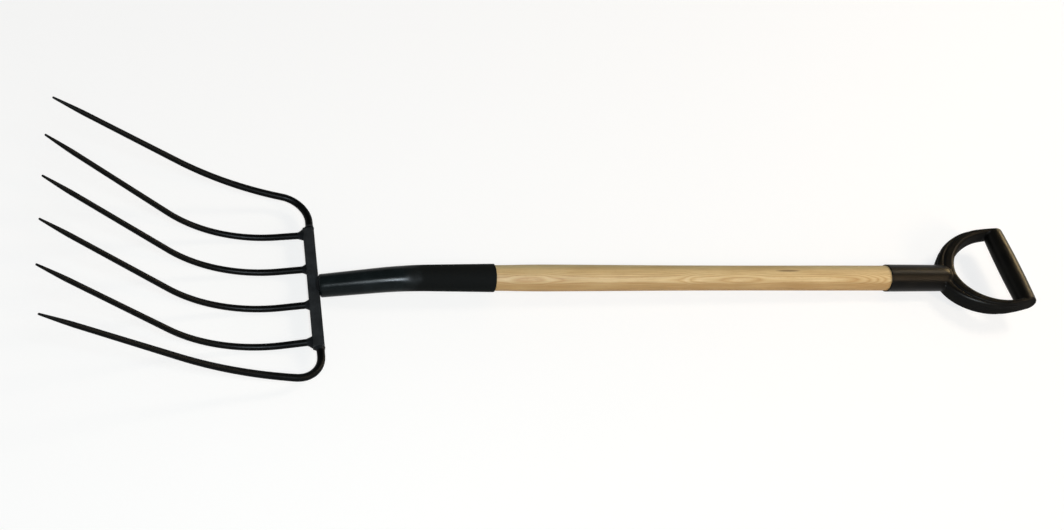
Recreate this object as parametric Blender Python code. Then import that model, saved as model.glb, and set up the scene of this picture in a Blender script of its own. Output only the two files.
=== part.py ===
"""Ensilage fork: a six-tine steel head, a bent socket, an ash shaft and a moulded D-grip.

The fork lies as it would on a floor, tips up. +X runs from the tines towards the grip, +Y is the
fork's width and +Z is up. The origin is under the middle of the fork, on the floor. Metres.

Two empties carry the pieces. "fork" has the shaft's axis as its X axis and the socket's rear rim
as its origin, and lays the whole fork on the floor. "head" sits at the bar's back edge: its -X axis
points out along the tines' roots and its Z axis is square to the bar's upper face.
"""

import math

import bmesh
import bpy
from mathutils import Matrix, Vector

MM = 0.001

# Clearance left between two pieces that touch
GAP = 0.3 * MM

# Ash shaft: its waist is halfway between socket and grip, and it swells towards both
SHAFT_D = 30.8 * MM
SHAFT_EXPOSED = 521 * MM
SHAFT_FRONT_SWELL = 0.5 * MM
SHAFT_FRONT_SWELL_AT = 60 * MM
SHAFT_RIM_DRAW = 0.3 * MM
SHAFT_GRIP_SWELL = 0.6 * MM
SHAFT_END_DRAW = 1.4 * MM
SHAFT_CHAMFER = 1.5 * MM

# Socket: a tapered tube that holds the shaft, then bends down to the bar
SOCKET_LENGTH = 201.8 * MM
SOCKET_STRAIGHT = 75 * MM
SOCKET_BEND_R = 395 * MM
SOCKET_BEND = math.radians(9)
SOCKET_NOSE_D = 26.8 * MM
SOCKET_WALL = 1.2 * MM
NOSE_ROUND = 2.5 * MM
RIM_ROUND = 0.35 * MM

# Cross bar: flat steel that the inner tines butt against
BAR_WIDTH = 13 * MM
BAR_THICKNESS = 8 * MM
BAR_EDGE = 1 * MM
BAR_OVERHANG = 9 * MM
NOSE_SEAT_DEPTH = 0.3 * MM
NOSE_SEAT_MARGIN = 2 * MM

# Inner tines: straight root, one bend, straight to the point
INNER_TINES = 4
TINE_PITCH = 50 * MM
TIP_PITCH = 55.75 * MM
INNER_ROOT = 31 * MM
INNER_BEND_R = 143 * MM
INNER_BEND = math.radians(52.5)
INNER_LENGTH = 330 * MM
INNER_ROOT_D = 8 * MM

# Outer tines: rods bent round the bar's corners and raised above the inner ones
OUTER_INSET = 0.5 * MM
CORNER_RUN = 10.2 * MM
CORNER_R = 32 * MM
OUTER_LIFT = math.radians(22)
OUTER_BEND_R = 360 * MM
OUTER_BEND = math.radians(21)
OUTER_REACH = 285 * MM
OUTER_ROOT_D = 9 * MM

# Points, the same on every tine
SHANK_D = 5.6 * MM
POINT_LENGTH = 38 * MM
POINT_POWER = 1.3
TIP_D = 2.2 * MM
TIP_FLAT = 0.2

# Welds: fillets round the inner tines, gussets outside the outermost two, beads at the bar's ends
WELD_CAP = 0.6 * MM
WELD_TOE = 0.2 * MM
FILLET_LENGTH = 4.5 * MM
FILLET_SIDE = 2.4 * MM
GUSSET_LENGTH = 6 * MM
CORNER_BEAD_LENGTH = 3.5 * MM
WELD_FALL = 1.6
NOSE_WELD_LEG = 4 * MM
NOSE_WELD_LENGTH = 19 * MM
NOSE_WELD_BULGE = 0.62
NOSE_WELD_TOE = 0.12
NOSE_WELD_END = 0.4

# D-grip sleeve: tapered bore, slightly tapered outside, closed by a rounded nose
SLEEVE_WALL = 1.2 * MM
SLEEVE_STRAIGHT = 80 * MM
SLEEVE_DRAW = 0.3 * MM
SLEEVE_NOSE = 21 * MM
SLEEVE_NOSE_END = math.radians(84)
SEAT_FLOOR = 10 * MM
SLEEVE_RIM_ROUND = 0.5 * MM

# D-grip bow: its plane leaves the shaft's axis at BOW_SETBACK behind the sleeve's straight part
BOW_SETBACK = 9 * MM
BOW_TILT = math.radians(14)
HOLE_FRONT = 13.2 * MM
HOLE_DEPTH = 58.3 * MM
HOLE_HALF_WIDTH = 54.5 * MM
HOLE_POWER = 1.84
BOW_CROWN = 24.6 * MM
BOW_ARM = 7.4 * MM
BOW_LEAD = 11 * MM
BOW_POWER = 1.89
BOW_DRAW_IN = 2.5 * MM
BOW_OVERLAP = 3.5 * MM
BOW_THICKNESS = 24.6 * MM
BOW_EDGE_ROUND = 5 * MM
BOW_EDGE_SHARE = 0.42

# Grooves of the bow, measured over its surface: one on each face at INNER_BAND from the hole and
# one on each half of the outer side, RIDGE_WIDTH further, which close in on each other
INNER_BAND = 12.7 * MM
RIDGE_WIDTH = 11.5 * MM
RIDGE_LEAST = 4 * MM
MIDDLE_LAND = 0.8 * MM
GROOVE_DEPTH = 1.7 * MM
GROOVE_WIDTH = 2.2 * MM
GROOVES_END = 0.67

# D-grip hand bar
ARM_RUN = 3.3 * MM
HAND_BAR_D = 27.6 * MM
HAND_BAR_END_D = 25.4 * MM
HAND_BAR_ROUND = 3.2 * MM

# Fasteners on the underside
RIVET_AT = 38 * MM
RIVET_SHANK_D = 4.8 * MM
RIVET_HEAD_D = 9 * MM
RIVET_HEAD_H = 2.2 * MM
RIVET_HEAD_END = math.radians(75)
RIVET_LENGTH = 14 * MM
SCREW_AT = 32 * MM
SCREW_SHANK_D = 3.5 * MM
SCREW_HEAD_D = 6.6 * MM
SCREW_HEAD_H = 1.5 * MM
SCREW_LENGTH = 14 * MM
SCREW_POINT_D = 1.2 * MM
SCREW_POINT_LENGTH = 3.5 * MM
SCREW_RECESS = 0.3 * MM

# Facets
ROD_SIDES = 12
TUBE_SIDES = 32
HAND_BAR_SIDES = 24
WELD_SIDES = 20
FASTENER_SIDES = 16
SHAFT_STEPS = 5
SOCKET_STEPS = 6
BEND_STEPS = 12
CORNER_STEPS = 9
POINT_STEPS = 6
WELD_STEPS = 4
NOSE_WELD_STEPS = 8
BOW_STEPS = 26
ARM_STEPS = 3
ROUND_STEPS = 3
SLEEVE_NOSE_STEPS = 5
RIDGE_STEPS = 4
LAY_STEPS = 6

# Sizes that follow from the ones above
SHAFT_R = SHAFT_D / 2
SHAFT_RIM_R = SHAFT_R - SHAFT_RIM_DRAW
SHAFT_GRIP_R = SHAFT_R + SHAFT_GRIP_SWELL
SHAFT_END_R = SHAFT_GRIP_R - SHAFT_END_DRAW
SOCKET_REAR_R = SHAFT_RIM_R + GAP + SOCKET_WALL
SOCKET_NOSE_R = SOCKET_NOSE_D / 2
NOSE_SEAT_HALF = SOCKET_NOSE_R + NOSE_SEAT_MARGIN
BEND_LENGTH = SOCKET_BEND_R * SOCKET_BEND
BAR_LENGTH = (INNER_TINES - 1) * TINE_PITCH + 2 * BAR_OVERHANG
BAR_FRONT = -GAP - BAR_WIDTH
SPREAD = TIP_PITCH / TINE_PITCH
INNER_START = BAR_FRONT - GAP
OUTER_START = BAR_LENGTH / 2 + GAP
OUTER_BACK = -GAP - OUTER_INSET - OUTER_ROOT_D / 2
SLEEVE_SEAT = SLEEVE_STRAIGHT - SEAT_FLOOR
SLEEVE_RIM_R = SHAFT_GRIP_R + GAP + SLEEVE_WALL
SLEEVE_END_R = SLEEVE_RIM_R - SLEEVE_DRAW
BOW_FRONT = HOLE_FRONT - BOW_CROWN
BOW_DEPTH = HOLE_FRONT + HOLE_DEPTH - BOW_LEAD - BOW_FRONT
BOW_HALF_WIDTH = HOLE_HALF_WIDTH + BOW_ARM
HAND_BAR_AT = HOLE_FRONT + HOLE_DEPTH + ARM_RUN + HAND_BAR_D / 2
HAND_BAR_HALF = BOW_HALF_WIDTH - BOW_DRAW_IN

X_AXIS = Vector((1, 0, 0))
Y_AXIS = Vector((0, 1, 0))
Z_AXIS = Vector((0, 0, 1))


def clear_scene():
    """Remove whatever the file holds."""
    for obj in list(bpy.data.objects):
        bpy.data.objects.remove(obj, do_unlink=True)


def paint(name, colour, roughness, metallic=0.0):
    """Principled material with a linear colour."""
    material = bpy.data.materials.new(name)
    material.use_nodes = True
    shader = material.node_tree.nodes["Principled BSDF"]
    shader.inputs["Base Color"].default_value = (*colour, 1.0)
    shader.inputs["Roughness"].default_value = roughness
    shader.inputs["Metallic"].default_value = metallic
    material.diffuse_color = (*colour, 1.0)
    return material


def place(name, bm, material, parent, sharp=math.radians(35)):
    """Turn a bmesh into a named object under its parent empty."""
    bmesh.ops.recalc_face_normals(bm, faces=bm.faces)
    mesh = bpy.data.meshes.new(name)
    bm.to_mesh(mesh)
    bm.free()
    mesh.materials.append(material)
    mesh.shade_smooth()
    mesh.set_sharp_from_angle(angle=sharp)
    obj = bpy.data.objects.new(name, mesh)
    bpy.context.collection.objects.link(obj)
    obj.parent = parent
    return obj


def loft(rings, closed=False):
    """Skin rings of equal length. The ends are capped, or joined to each other if closed."""
    bm = bmesh.new()
    loops = [[bm.verts.new(point) for point in ring] for ring in rings]
    pairs = list(zip(loops, loops[1:]))
    if closed:
        pairs.append((loops[-1], loops[0]))
    for low, high in pairs:
        for j in range(len(low)):
            k = (j + 1) % len(low)
            bm.faces.new((low[j], low[k], high[k], high[j]))
    if not closed:
        bm.faces.new(loops[0][::-1])
        bm.faces.new(loops[-1])
    return bm


def ring_about(centre, across, up, radius, sides):
    """Circle of points round a centre in the plane of two unit vectors."""
    turns = [2 * math.pi * j / sides for j in range(sides)]
    return [centre + radius * (math.cos(a) * across + math.sin(a) * up) for a in turns]


def turned(profile, sides, axis=X_AXIS, across=Y_AXIS, centre=Vector((0, 0, 0))):
    """Round body from (distance along the axis, radius) pairs."""
    up = axis.cross(across)
    return loft([ring_about(centre + at * axis, across, up, radius, sides) for at, radius in profile])


def arc(end, steps):
    """Angles of a rounding, from its first step to its end."""
    return [end * (k + 1) / steps for k in range(steps)]


def boolean(target, tool, operation):
    """Combine a guide solid with its target and keep the guide out of the product."""
    tool.hide_render = True
    tool.display_type = "WIRE"
    modifier = target.modifiers.new(tool.name, "BOOLEAN")
    modifier.operation = operation
    modifier.solver = "EXACT"
    modifier.object = tool


def empty(name, parent=None):
    """Frame that pieces are placed in."""
    frame = bpy.data.objects.new(name, None)
    bpy.context.collection.objects.link(frame)
    frame.parent = parent
    return frame


def rod_walk(start, swing, lift, legs):
    """Centreline of a bent rod in the head's frame.

    swing is the heading from +Y (0) round to straight out (90 degrees), and lift raises the
    heading above the bar. Each leg is (length, swing change, lift change, steps).
    """
    points = [Vector(start)]
    for length, turn, rise, steps in legs:
        for step in range(steps):
            t = swing + turn * (step + 0.5) / steps
            e = lift + rise * (step + 0.5) / steps
            heading = Vector((-math.sin(t) * math.cos(e), math.cos(t), math.sin(t) * math.sin(e)))
            points.append(points[-1] + heading * length / steps)
        swing += turn
        lift += rise
    return points


def tine_radius(along, length, root_d):
    """Drawn-down shank, then a taper to the point, which has a round end."""
    left = length - along
    if left >= POINT_LENGTH:
        share = along / (length - POINT_LENGTH)
        return (root_d + (SHANK_D - root_d) * share) / 2
    share = 1 - left / POINT_LENGTH
    radius = (SHANK_D + (TIP_D - SHANK_D) * share ** POINT_POWER) / 2
    round_end = TIP_D / 2
    if left < round_end:
        radius *= math.sqrt(max(1 - (1 - left / round_end) ** 2, TIP_FLAT ** 2))
    return radius


def rod(points, root_d):
    """Round tapering bar along a centreline, with a point drawn on its last leg."""
    length = sum((b - a).length for a, b in zip(points, points[1:]))
    end = points[-1]
    heading = (end - points[-2]).normalized()
    lefts = [POINT_LENGTH * (1 - k / POINT_STEPS) for k in range(POINT_STEPS)]
    lefts += [TIP_D / 2, TIP_D / 5, 0.0]
    stations = points[:-1] + [end - heading * left for left in lefts]
    rings = []
    along = 0.0
    across = Z_AXIS.copy()
    for i, point in enumerate(stations):
        if i:
            along += (point - stations[i - 1]).length
        before = stations[max(i - 1, 0)]
        after = stations[min(i + 1, len(stations) - 1)]
        tangent = (after - before).normalized()
        across = (across - tangent * across.dot(tangent)).normalized()
        up = tangent.cross(across)
        rings.append(ring_about(point, across, up, tine_radius(along, length, root_d), ROD_SIDES))
    return loft(rings)


def splay(offset, length):
    """Sideways heading that spreads a tine from its place at the bar to its place at the tip."""
    return math.asin(offset * (SPREAD - 1) / length)


def inner_offset(index):
    """Distance of an inner tine from the fork's middle plane, from +Y to -Y."""
    return ((INNER_TINES - 1) / 2 - index) * TINE_PITCH


def build_inner_tine(name, offset, steel, head):
    """Inner tine from the bar's front edge to its point."""
    bend = INNER_BEND_R * INNER_BEND
    swing = math.pi / 2 - splay(offset, INNER_LENGTH)
    legs = [
        (INNER_ROOT, 0, 0, 2),
        (bend, 0, INNER_BEND, BEND_STEPS),
        (INNER_LENGTH - INNER_ROOT - bend, 0, 0, 1),
    ]
    points = rod_walk((INNER_START, offset, 0), swing, 0, legs)
    return place(name, rod(points, INNER_ROOT_D), steel, head)


def build_outer_tine(name, side, steel, head):
    """Outer rod from the bar's end, round the corner and out to its point; side is +1 or -1."""
    half_width = OUTER_START + CORNER_RUN + CORNER_R
    turn = math.pi / 2 - splay(half_width, CORNER_R + OUTER_REACH)
    bend = OUTER_BEND_R * OUTER_BEND
    legs = [
        (CORNER_RUN, 0, 0, 1),
        (CORNER_R * turn, turn, 0, CORNER_STEPS),
        (bend, 0, OUTER_BEND, BEND_STEPS),
        (OUTER_REACH - bend, 0, 0, 1),
    ]
    points = rod_walk((OUTER_BACK, OUTER_START, 0), 0, OUTER_LIFT, legs)
    points = [Vector((p.x, side * p.y, p.z)) for p in points]
    return place(name, rod(points, OUTER_ROOT_D), steel, head)


def build_bar(steel, head):
    """Flat bar with softened edges and a shallow ground seat that the socket's nose is welded in."""
    bm = bmesh.new()
    size = Matrix.Diagonal((BAR_WIDTH, BAR_LENGTH, BAR_THICKNESS, 1))
    centre = Matrix.Translation((-GAP - BAR_WIDTH / 2, 0, 0))
    bmesh.ops.create_cube(bm, size=1, matrix=centre @ size)
    bmesh.ops.bevel(bm, geom=bm.edges[:], offset=BAR_EDGE, segments=2, profile=0.5, affect="EDGES")
    bar = place("cross_bar", bm, steel, head)
    seat = bmesh.new()
    size = Matrix.Diagonal((2 * BAR_EDGE, 2 * NOSE_SEAT_HALF, BAR_THICKNESS + 2 * BAR_EDGE, 1))
    centre = Matrix.Translation((BAR_EDGE - GAP - NOSE_SEAT_DEPTH, 0, 0))
    bmesh.ops.create_cube(seat, size=1, matrix=centre @ size)
    boolean(bar, place("nose_seat_form", seat, steel, head), "DIFFERENCE")
    return bar


def collar(base, axis, across, bore, reach, length):
    """Weld metal round a rod: its foot spreads over the bar and it thins out along the rod.

    bore is the rod's radius with its clearance. reach is how far the foot goes along across to
    the low and the high side, and at right angles to that.
    """
    low, high, front = reach
    up = axis.cross(across)
    outer = []
    inner = []
    for step in range(WELD_STEPS + 1):
        along = step / WELD_STEPS
        foot = (1 - along) ** WELD_FALL
        lip = bore + WELD_TOE + (WELD_CAP - WELD_TOE) * (1 - along)
        centre = base + axis * (length * along)
        ring = []
        for j in range(WELD_SIDES):
            a = 2 * math.pi * j / WELD_SIDES
            side = high if math.cos(a) > 0 else low
            wide = lip + (side - lip) * foot
            tall = lip + (front - lip) * foot
            ring.append(centre + wide * math.cos(a) * across + tall * math.sin(a) * up)
        outer.append(ring)
        inner.append(ring_about(centre, across, up, bore, WELD_SIDES))
    return loft(outer + inner[::-1], closed=True)


def build_tine_weld(name, offset, steel, head):
    """Fillet round an inner tine's root. Those of the outermost two are gussets to the bar's end."""
    bore = INNER_ROOT_D / 2 + GAP
    outermost = abs(abs(offset) - inner_offset(0)) < GAP
    fillet = bore + FILLET_SIDE
    gusset = BAR_OVERHANG - GAP
    high = gusset if outermost and offset > 0 else fillet
    low = gusset if outermost and offset < 0 else fillet
    cap = max(BAR_THICKNESS, INNER_ROOT_D) / 2 + GAP + WELD_CAP
    length = GUSSET_LENGTH if outermost else FILLET_LENGTH
    base = Vector((INNER_START, offset, 0))
    return place(name, collar(base, -X_AXIS, Y_AXIS, bore, (low, high, cap), length), steel, head)


def build_corner_weld(name, side, steel, head):
    """Bead that carries the bar's section over to the round rod at its end."""
    bore = OUTER_ROOT_D / 2 + GAP
    base = Vector((OUTER_BACK, side * OUTER_START, 0))
    back = bore + WELD_CAP
    front = OUTER_BACK - BAR_FRONT
    cap = max(BAR_THICKNESS, OUTER_ROOT_D) / 2 + GAP + WELD_CAP
    bm = collar(base, side * Y_AXIS, -X_AXIS, bore, (back, front, cap), CORNER_BEAD_LENGTH)
    return place(name, bm, steel, head)


def build_nose_weld(name, side, steel, head):
    """Fillet in the corner between the bar's upper (+1) or lower (-1) face and the socket's nose."""
    rings = []
    for step in range(NOSE_WELD_STEPS + 1):
        share = 2 * step / NOSE_WELD_STEPS - 1
        leg = NOSE_WELD_LEG * math.sqrt(1 - (1 - NOSE_WELD_END ** 2) * share ** 2)
        toe = NOSE_WELD_TOE * leg
        bulge = NOSE_WELD_BULGE * leg
        above = BAR_THICKNESS / 2 + GAP
        corner = Vector((-NOSE_SEAT_DEPTH - GAP, share * NOSE_WELD_LENGTH / 2, side * above))
        section = [(0, 0), (leg, 0), (leg, toe), (bulge, bulge), (toe, leg), (0, leg)]
        rings.append([corner + Vector((-run, 0, side * rise)) for run, rise in section])
    return place(name, loft(rings), steel, head)


def socket_centre(along):
    """Point on the socket's centreline and the pitch there, from the rear rim forwards."""
    bent = min(max(along - SOCKET_STRAIGHT, 0), BEND_LENGTH)
    angle = bent / SOCKET_BEND_R
    straight = min(along, SOCKET_STRAIGHT)
    ahead = max(along - SOCKET_STRAIGHT - BEND_LENGTH, 0)
    x = -straight - SOCKET_BEND_R * math.sin(angle) - ahead * math.cos(angle)
    z = -SOCKET_BEND_R * (1 - math.cos(angle)) - ahead * math.sin(angle)
    return Vector((x, 0, z)), angle


def socket_radius(along):
    """Outer radius of the tapered tube."""
    return SOCKET_REAR_R + (SOCKET_NOSE_R - SOCKET_REAR_R) * along / SOCKET_LENGTH


def socket_bore(along):
    """Inner radius of the tapered tube."""
    return socket_radius(along) - SOCKET_WALL


def build_socket(steel, fork):
    """Tube turned about its bent centreline, open at the rim and closed at the nose."""
    stations = [SOCKET_STRAIGHT / 2]
    stations += [SOCKET_STRAIGHT + BEND_LENGTH * k / SOCKET_STEPS for k in range(SOCKET_STEPS + 1)]
    floor = SOCKET_LENGTH - SOCKET_WALL
    profile = [(floor, socket_bore(floor) - NOSE_ROUND / 2), (floor - NOSE_ROUND / 2, socket_bore(floor))]
    profile += [(s, socket_bore(s)) for s in reversed(stations)]
    profile += [(RIM_ROUND, socket_bore(0)), (0, socket_bore(0) + RIM_ROUND)]
    profile += [(0, SOCKET_REAR_R - RIM_ROUND), (RIM_ROUND, socket_radius(RIM_ROUND))]
    profile += [(s, socket_radius(s)) for s in stations]
    for a in [0] + arc(math.pi / 2, ROUND_STEPS):
        at = SOCKET_LENGTH - NOSE_ROUND * (1 - math.sin(a))
        profile.append((at, SOCKET_NOSE_R - NOSE_ROUND * (1 - math.cos(a))))
    rings = []
    for along, radius in profile:
        centre, pitch = socket_centre(along)
        up = Vector((-math.sin(pitch), 0, math.cos(pitch)))
        rings.append(ring_about(centre, Y_AXIS, up, radius, TUBE_SIDES))
    return place("socket", loft(rings), steel, fork)


def build_shaft(wood, fork):
    """Ash shaft: a straight taper in the socket, a gently swelling length, a taper in the sleeve."""
    seat_r = socket_bore(SOCKET_STRAIGHT) - GAP
    profile = [(-SOCKET_STRAIGHT, seat_r - SHAFT_CHAMFER), (-SOCKET_STRAIGHT + SHAFT_CHAMFER, seat_r)]
    places = [
        (0, SHAFT_RIM_R),
        (SHAFT_FRONT_SWELL_AT, SHAFT_R + SHAFT_FRONT_SWELL),
        (SHAFT_EXPOSED / 2, SHAFT_R),
        (SHAFT_EXPOSED, SHAFT_GRIP_R),
    ]
    for (a, near), (b, far) in zip(places, places[1:]):
        for step in range(SHAFT_STEPS):
            share = step / SHAFT_STEPS
            ease = share * share * (3 - 2 * share)
            profile.append((a + (b - a) * share, near + (far - near) * ease))
    rear = SHAFT_EXPOSED + SLEEVE_SEAT
    profile += [(SHAFT_EXPOSED, SHAFT_GRIP_R), (rear - SHAFT_CHAMFER, SHAFT_END_R)]
    profile += [(rear, SHAFT_END_R - SHAFT_CHAMFER)]
    return place("shaft", turned(profile, TUBE_SIDES), wood, fork)


def bow_matrix():
    """Frame of the D's plane: X away from the sleeve, Y across, Z square to the plane."""
    root = SHAFT_EXPOSED + SLEEVE_STRAIGHT + BOW_SETBACK
    return Matrix.Translation((root, 0, 0)) @ Matrix.Rotation(-BOW_TILT, 4, "Y")


def half_oval(share, front, depth, half_width, power, end):
    """Point on one side of the bow: a superellipse from the front to its widest place, then straight.

    share runs from 0 at the front to 1 at the widest place and 2 at the end.
    """
    if share <= 1:
        a = share * math.pi / 2
        x = front + depth * (1 - math.cos(a) ** (2 / power))
        return x, half_width * math.sin(a) ** (2 / power)
    widest = front + depth
    return widest + (end - widest) * (share - 1), half_width


def bow_surface(thickness, way, sink):
    """Point on the upper half of the bow's outline, or sunk below it.

    way is measured over the surface, from the inner rounding along the upper face, round the
    outer edge and down the outer side. The point is (distance out from the hand hole, height off
    the D's plane).
    """
    half = BOW_THICKNESS / 2
    run = min(BOW_EDGE_ROUND, BOW_EDGE_SHARE * thickness)
    flat = thickness - 2 * run
    bend = (run + BOW_EDGE_ROUND) * math.pi / 4
    if way <= flat:
        return run + way, half - sink
    if way >= flat + bend:
        return thickness - sink, half - BOW_EDGE_ROUND - (way - flat - bend)
    a = (way - flat) / bend * math.pi / 2
    out = thickness - run + (run - sink) * math.sin(a)
    return out, half - BOW_EDGE_ROUND + (BOW_EDGE_ROUND - sink) * math.cos(a)


def bow_section(thickness, fade):
    """Outline across the bow: (distance out from the hand hole, height off the D's plane).

    All four edges are rounded. Each half has a groove on its face and one on the outer side. The
    grooves fade where the bow runs into the hand bar.
    """
    half = BOW_THICKNESS / 2
    run = min(BOW_EDGE_ROUND, BOW_EDGE_SHARE * thickness)
    whole = thickness - 2 * run + (run + BOW_EDGE_ROUND) * math.pi / 4 + half - BOW_EDGE_ROUND
    second = min(INNER_BAND - run + RIDGE_WIDTH, whole - (MIDDLE_LAND + GROOVE_WIDTH) / 2)
    first = min(INNER_BAND - run, second - RIDGE_LEAST)
    lean = 1 - math.cos(math.pi / 4)
    upper = [(0, half - BOW_EDGE_ROUND), (run * lean, half - BOW_EDGE_ROUND * lean), (run, half)]
    wall = GROOVE_WIDTH / 2
    for groove in (first, second):
        for off, sunk in ((-wall, 0), (-wall / 2, 1), (wall / 2, 1), (wall, 0)):
            upper.append(bow_surface(thickness, groove + off, sunk * GROOVE_DEPTH * fade))
        if groove == first:
            start = first + wall
            ridge = second - wall - start
            for step in range(1, RIDGE_STEPS):
                upper.append(bow_surface(thickness, start + ridge * step / RIDGE_STEPS, 0))
    return upper + [(out, -up) for out, up in reversed(upper)]


def build_bow(plastic, fork):
    """Bow of the D, lofted round the hand hole from one end of the hand bar to the other."""
    end = HAND_BAR_AT + BOW_OVERLAP
    frame = bow_matrix()
    shares = [k / BOW_STEPS for k in range(BOW_STEPS + 1)]
    shares += [1 + (k + 1) / ARM_STEPS for k in range(ARM_STEPS)]
    half = []
    for share in shares:
        inner = Vector(half_oval(share, HOLE_FRONT, HOLE_DEPTH, HOLE_HALF_WIDTH, HOLE_POWER, end))
        outer = Vector(half_oval(share, BOW_FRONT, BOW_DEPTH, BOW_HALF_WIDTH, BOW_POWER, end))
        late = max(share - 1, 0)
        outer.y -= BOW_DRAW_IN * late ** 2
        thickness = (outer - inner).length
        out = (outer - inner) / thickness
        section = bow_section(thickness, max(1 - late / GROOVES_END, 0))
        half.append([Vector((*(inner + out * away), height)) for away, height in section])
    mirrored = [[Vector((p.x, -p.y, p.z)) for p in ring] for ring in half[1:]]
    rings = [[frame @ p for p in ring] for ring in mirrored[::-1] + half]
    return place("grip_bow_form", loft(rings), plastic, fork)


def build_hand_bar(plastic, fork):
    """Slightly barrelled hand bar with rounded ends."""
    frame = bow_matrix() @ Matrix.Translation((HAND_BAR_AT, 0, 0))
    end_r = HAND_BAR_END_D / 2
    barrel = (HAND_BAR_D - HAND_BAR_END_D) / 2
    flat = HAND_BAR_HALF - HAND_BAR_ROUND
    half = [(0, end_r + barrel)]
    for step in range(1, ARM_STEPS + 1):
        share = step / ARM_STEPS
        half.append((share * flat, end_r + barrel * (1 - share ** 2)))
    for a in arc(math.pi / 2, ROUND_STEPS):
        half.append((flat + HAND_BAR_ROUND * math.sin(a), end_r - HAND_BAR_ROUND * (1 - math.cos(a))))
    profile = [(-at, radius) for at, radius in half[:0:-1]] + half
    bm = turned(profile, HAND_BAR_SIDES, Y_AXIS, X_AXIS)
    bm.transform(frame)
    return place("grip_bar_form", bm, plastic, fork)


def build_grip(plastic, fork):
    """Sleeve turned about the shaft's axis and fused with the bow and the hand bar."""
    rim = SHAFT_EXPOSED
    shoulder = rim + SLEEVE_STRAIGHT
    floor = rim + SLEEVE_SEAT + GAP
    lip = SLEEVE_RIM_ROUND
    profile = [(floor, SHAFT_END_R + GAP), (rim + lip / 2, SHAFT_GRIP_R + GAP)]
    profile += [(rim, SHAFT_GRIP_R + GAP + lip / 2), (rim, SLEEVE_RIM_R - lip), (rim + lip, SLEEVE_RIM_R)]
    profile.append((shoulder, SLEEVE_END_R))
    for a in arc(SLEEVE_NOSE_END, SLEEVE_NOSE_STEPS):
        profile.append((shoulder + SLEEVE_NOSE * math.sin(a), SLEEVE_END_R * math.cos(a)))
    grip = place("d_grip", turned(profile, TUBE_SIDES), plastic, fork)
    boolean(grip, build_bow(plastic, fork), "UNION")
    boolean(grip, build_hand_bar(plastic, fork), "UNION")
    return grip


def downwards(profile, at):
    """Round body hanging down from the shaft's axis at a place along it: (depth, radius) pairs."""
    return turned(profile, FASTENER_SIDES, -Z_AXIS, Y_AXIS, at * X_AXIS)


def build_rivet(zinc, steel, socket, shaft, fork):
    """Domed rivet through the socket's underside into the shaft, with its holes."""
    seat = socket_radius(RIVET_AT) + GAP
    top = seat - RIVET_LENGTH
    shank = RIVET_SHANK_D / 2
    head = RIVET_HEAD_D / 2
    profile = [(top, shank), (seat, shank), (seat, head)]
    for a in arc(RIVET_HEAD_END, ROUND_STEPS):
        profile.append((seat + RIVET_HEAD_H * math.sin(a), head * math.cos(a)))
    rivet = place("socket_rivet", downwards(profile, -RIVET_AT), zinc, fork)
    hole = [(top - GAP, shank + GAP), (seat + RIVET_HEAD_H, shank + GAP)]
    drill = place("rivet_hole_form", downwards(hole, -RIVET_AT), steel, fork)
    boolean(socket, drill, "DIFFERENCE")
    boolean(shaft, drill, "DIFFERENCE")
    return rivet


def build_screw(zinc, plastic, grip, shaft, fork):
    """Countersunk screw through the sleeve's underside into the shaft, with its holes."""
    at = SHAFT_EXPOSED + SCREW_AT
    face = SLEEVE_RIM_R - SLEEVE_DRAW * SCREW_AT / SLEEVE_STRAIGHT
    top = face - SCREW_RECESS
    neck = top - SCREW_HEAD_H
    tip = top - SCREW_LENGTH
    shank = SCREW_SHANK_D / 2
    head = SCREW_HEAD_D / 2
    profile = [(tip, SCREW_POINT_D / 2), (tip + SCREW_POINT_LENGTH, shank), (neck, shank), (top, head)]
    screw = place("grip_screw", downwards(profile, at), zinc, fork)
    hole = [(tip - GAP, shank + GAP), (neck, shank + GAP), (top, head + GAP), (face + GAP, head + GAP)]
    drill = place("screw_hole_form", downwards(hole, at), plastic, fork)
    boolean(grip, drill, "DIFFERENCE")
    boolean(shaft, drill, "DIFFERENCE")
    return screw


def lay_on_floor(fork, products):
    """Pitch the fork until head and grip both touch the floor, and centre it over the origin."""
    bpy.context.view_layer.update()
    graph = bpy.context.evaluated_depsgraph_get()
    points = []
    for obj in products:
        mesh = obj.evaluated_get(graph).to_mesh()
        points += [obj.matrix_world @ vertex.co for vertex in mesh.vertices]
    pitch = 0.0
    for _ in range(LAY_STEPS):
        turn = Matrix.Rotation(pitch, 3, "Y")
        ahead = min((p for p in points if p.x < 0), key=lambda p: (turn @ p).z)
        behind = min((p for p in points if p.x > 0), key=lambda p: (turn @ p).z)
        pitch = math.atan2(behind.z - ahead.z, behind.x - ahead.x)
    turn = Matrix.Rotation(pitch, 3, "Y")
    laid = [turn @ p for p in points]
    low = Vector(min(p[i] for p in laid) for i in range(3))
    high = Vector(max(p[i] for p in laid) for i in range(3))
    fork.rotation_euler = (0, pitch, 0)
    fork.location = (-(low.x + high.x) / 2, -(low.y + high.y) / 2, -low.z)
    bpy.context.view_layer.update()


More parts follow.
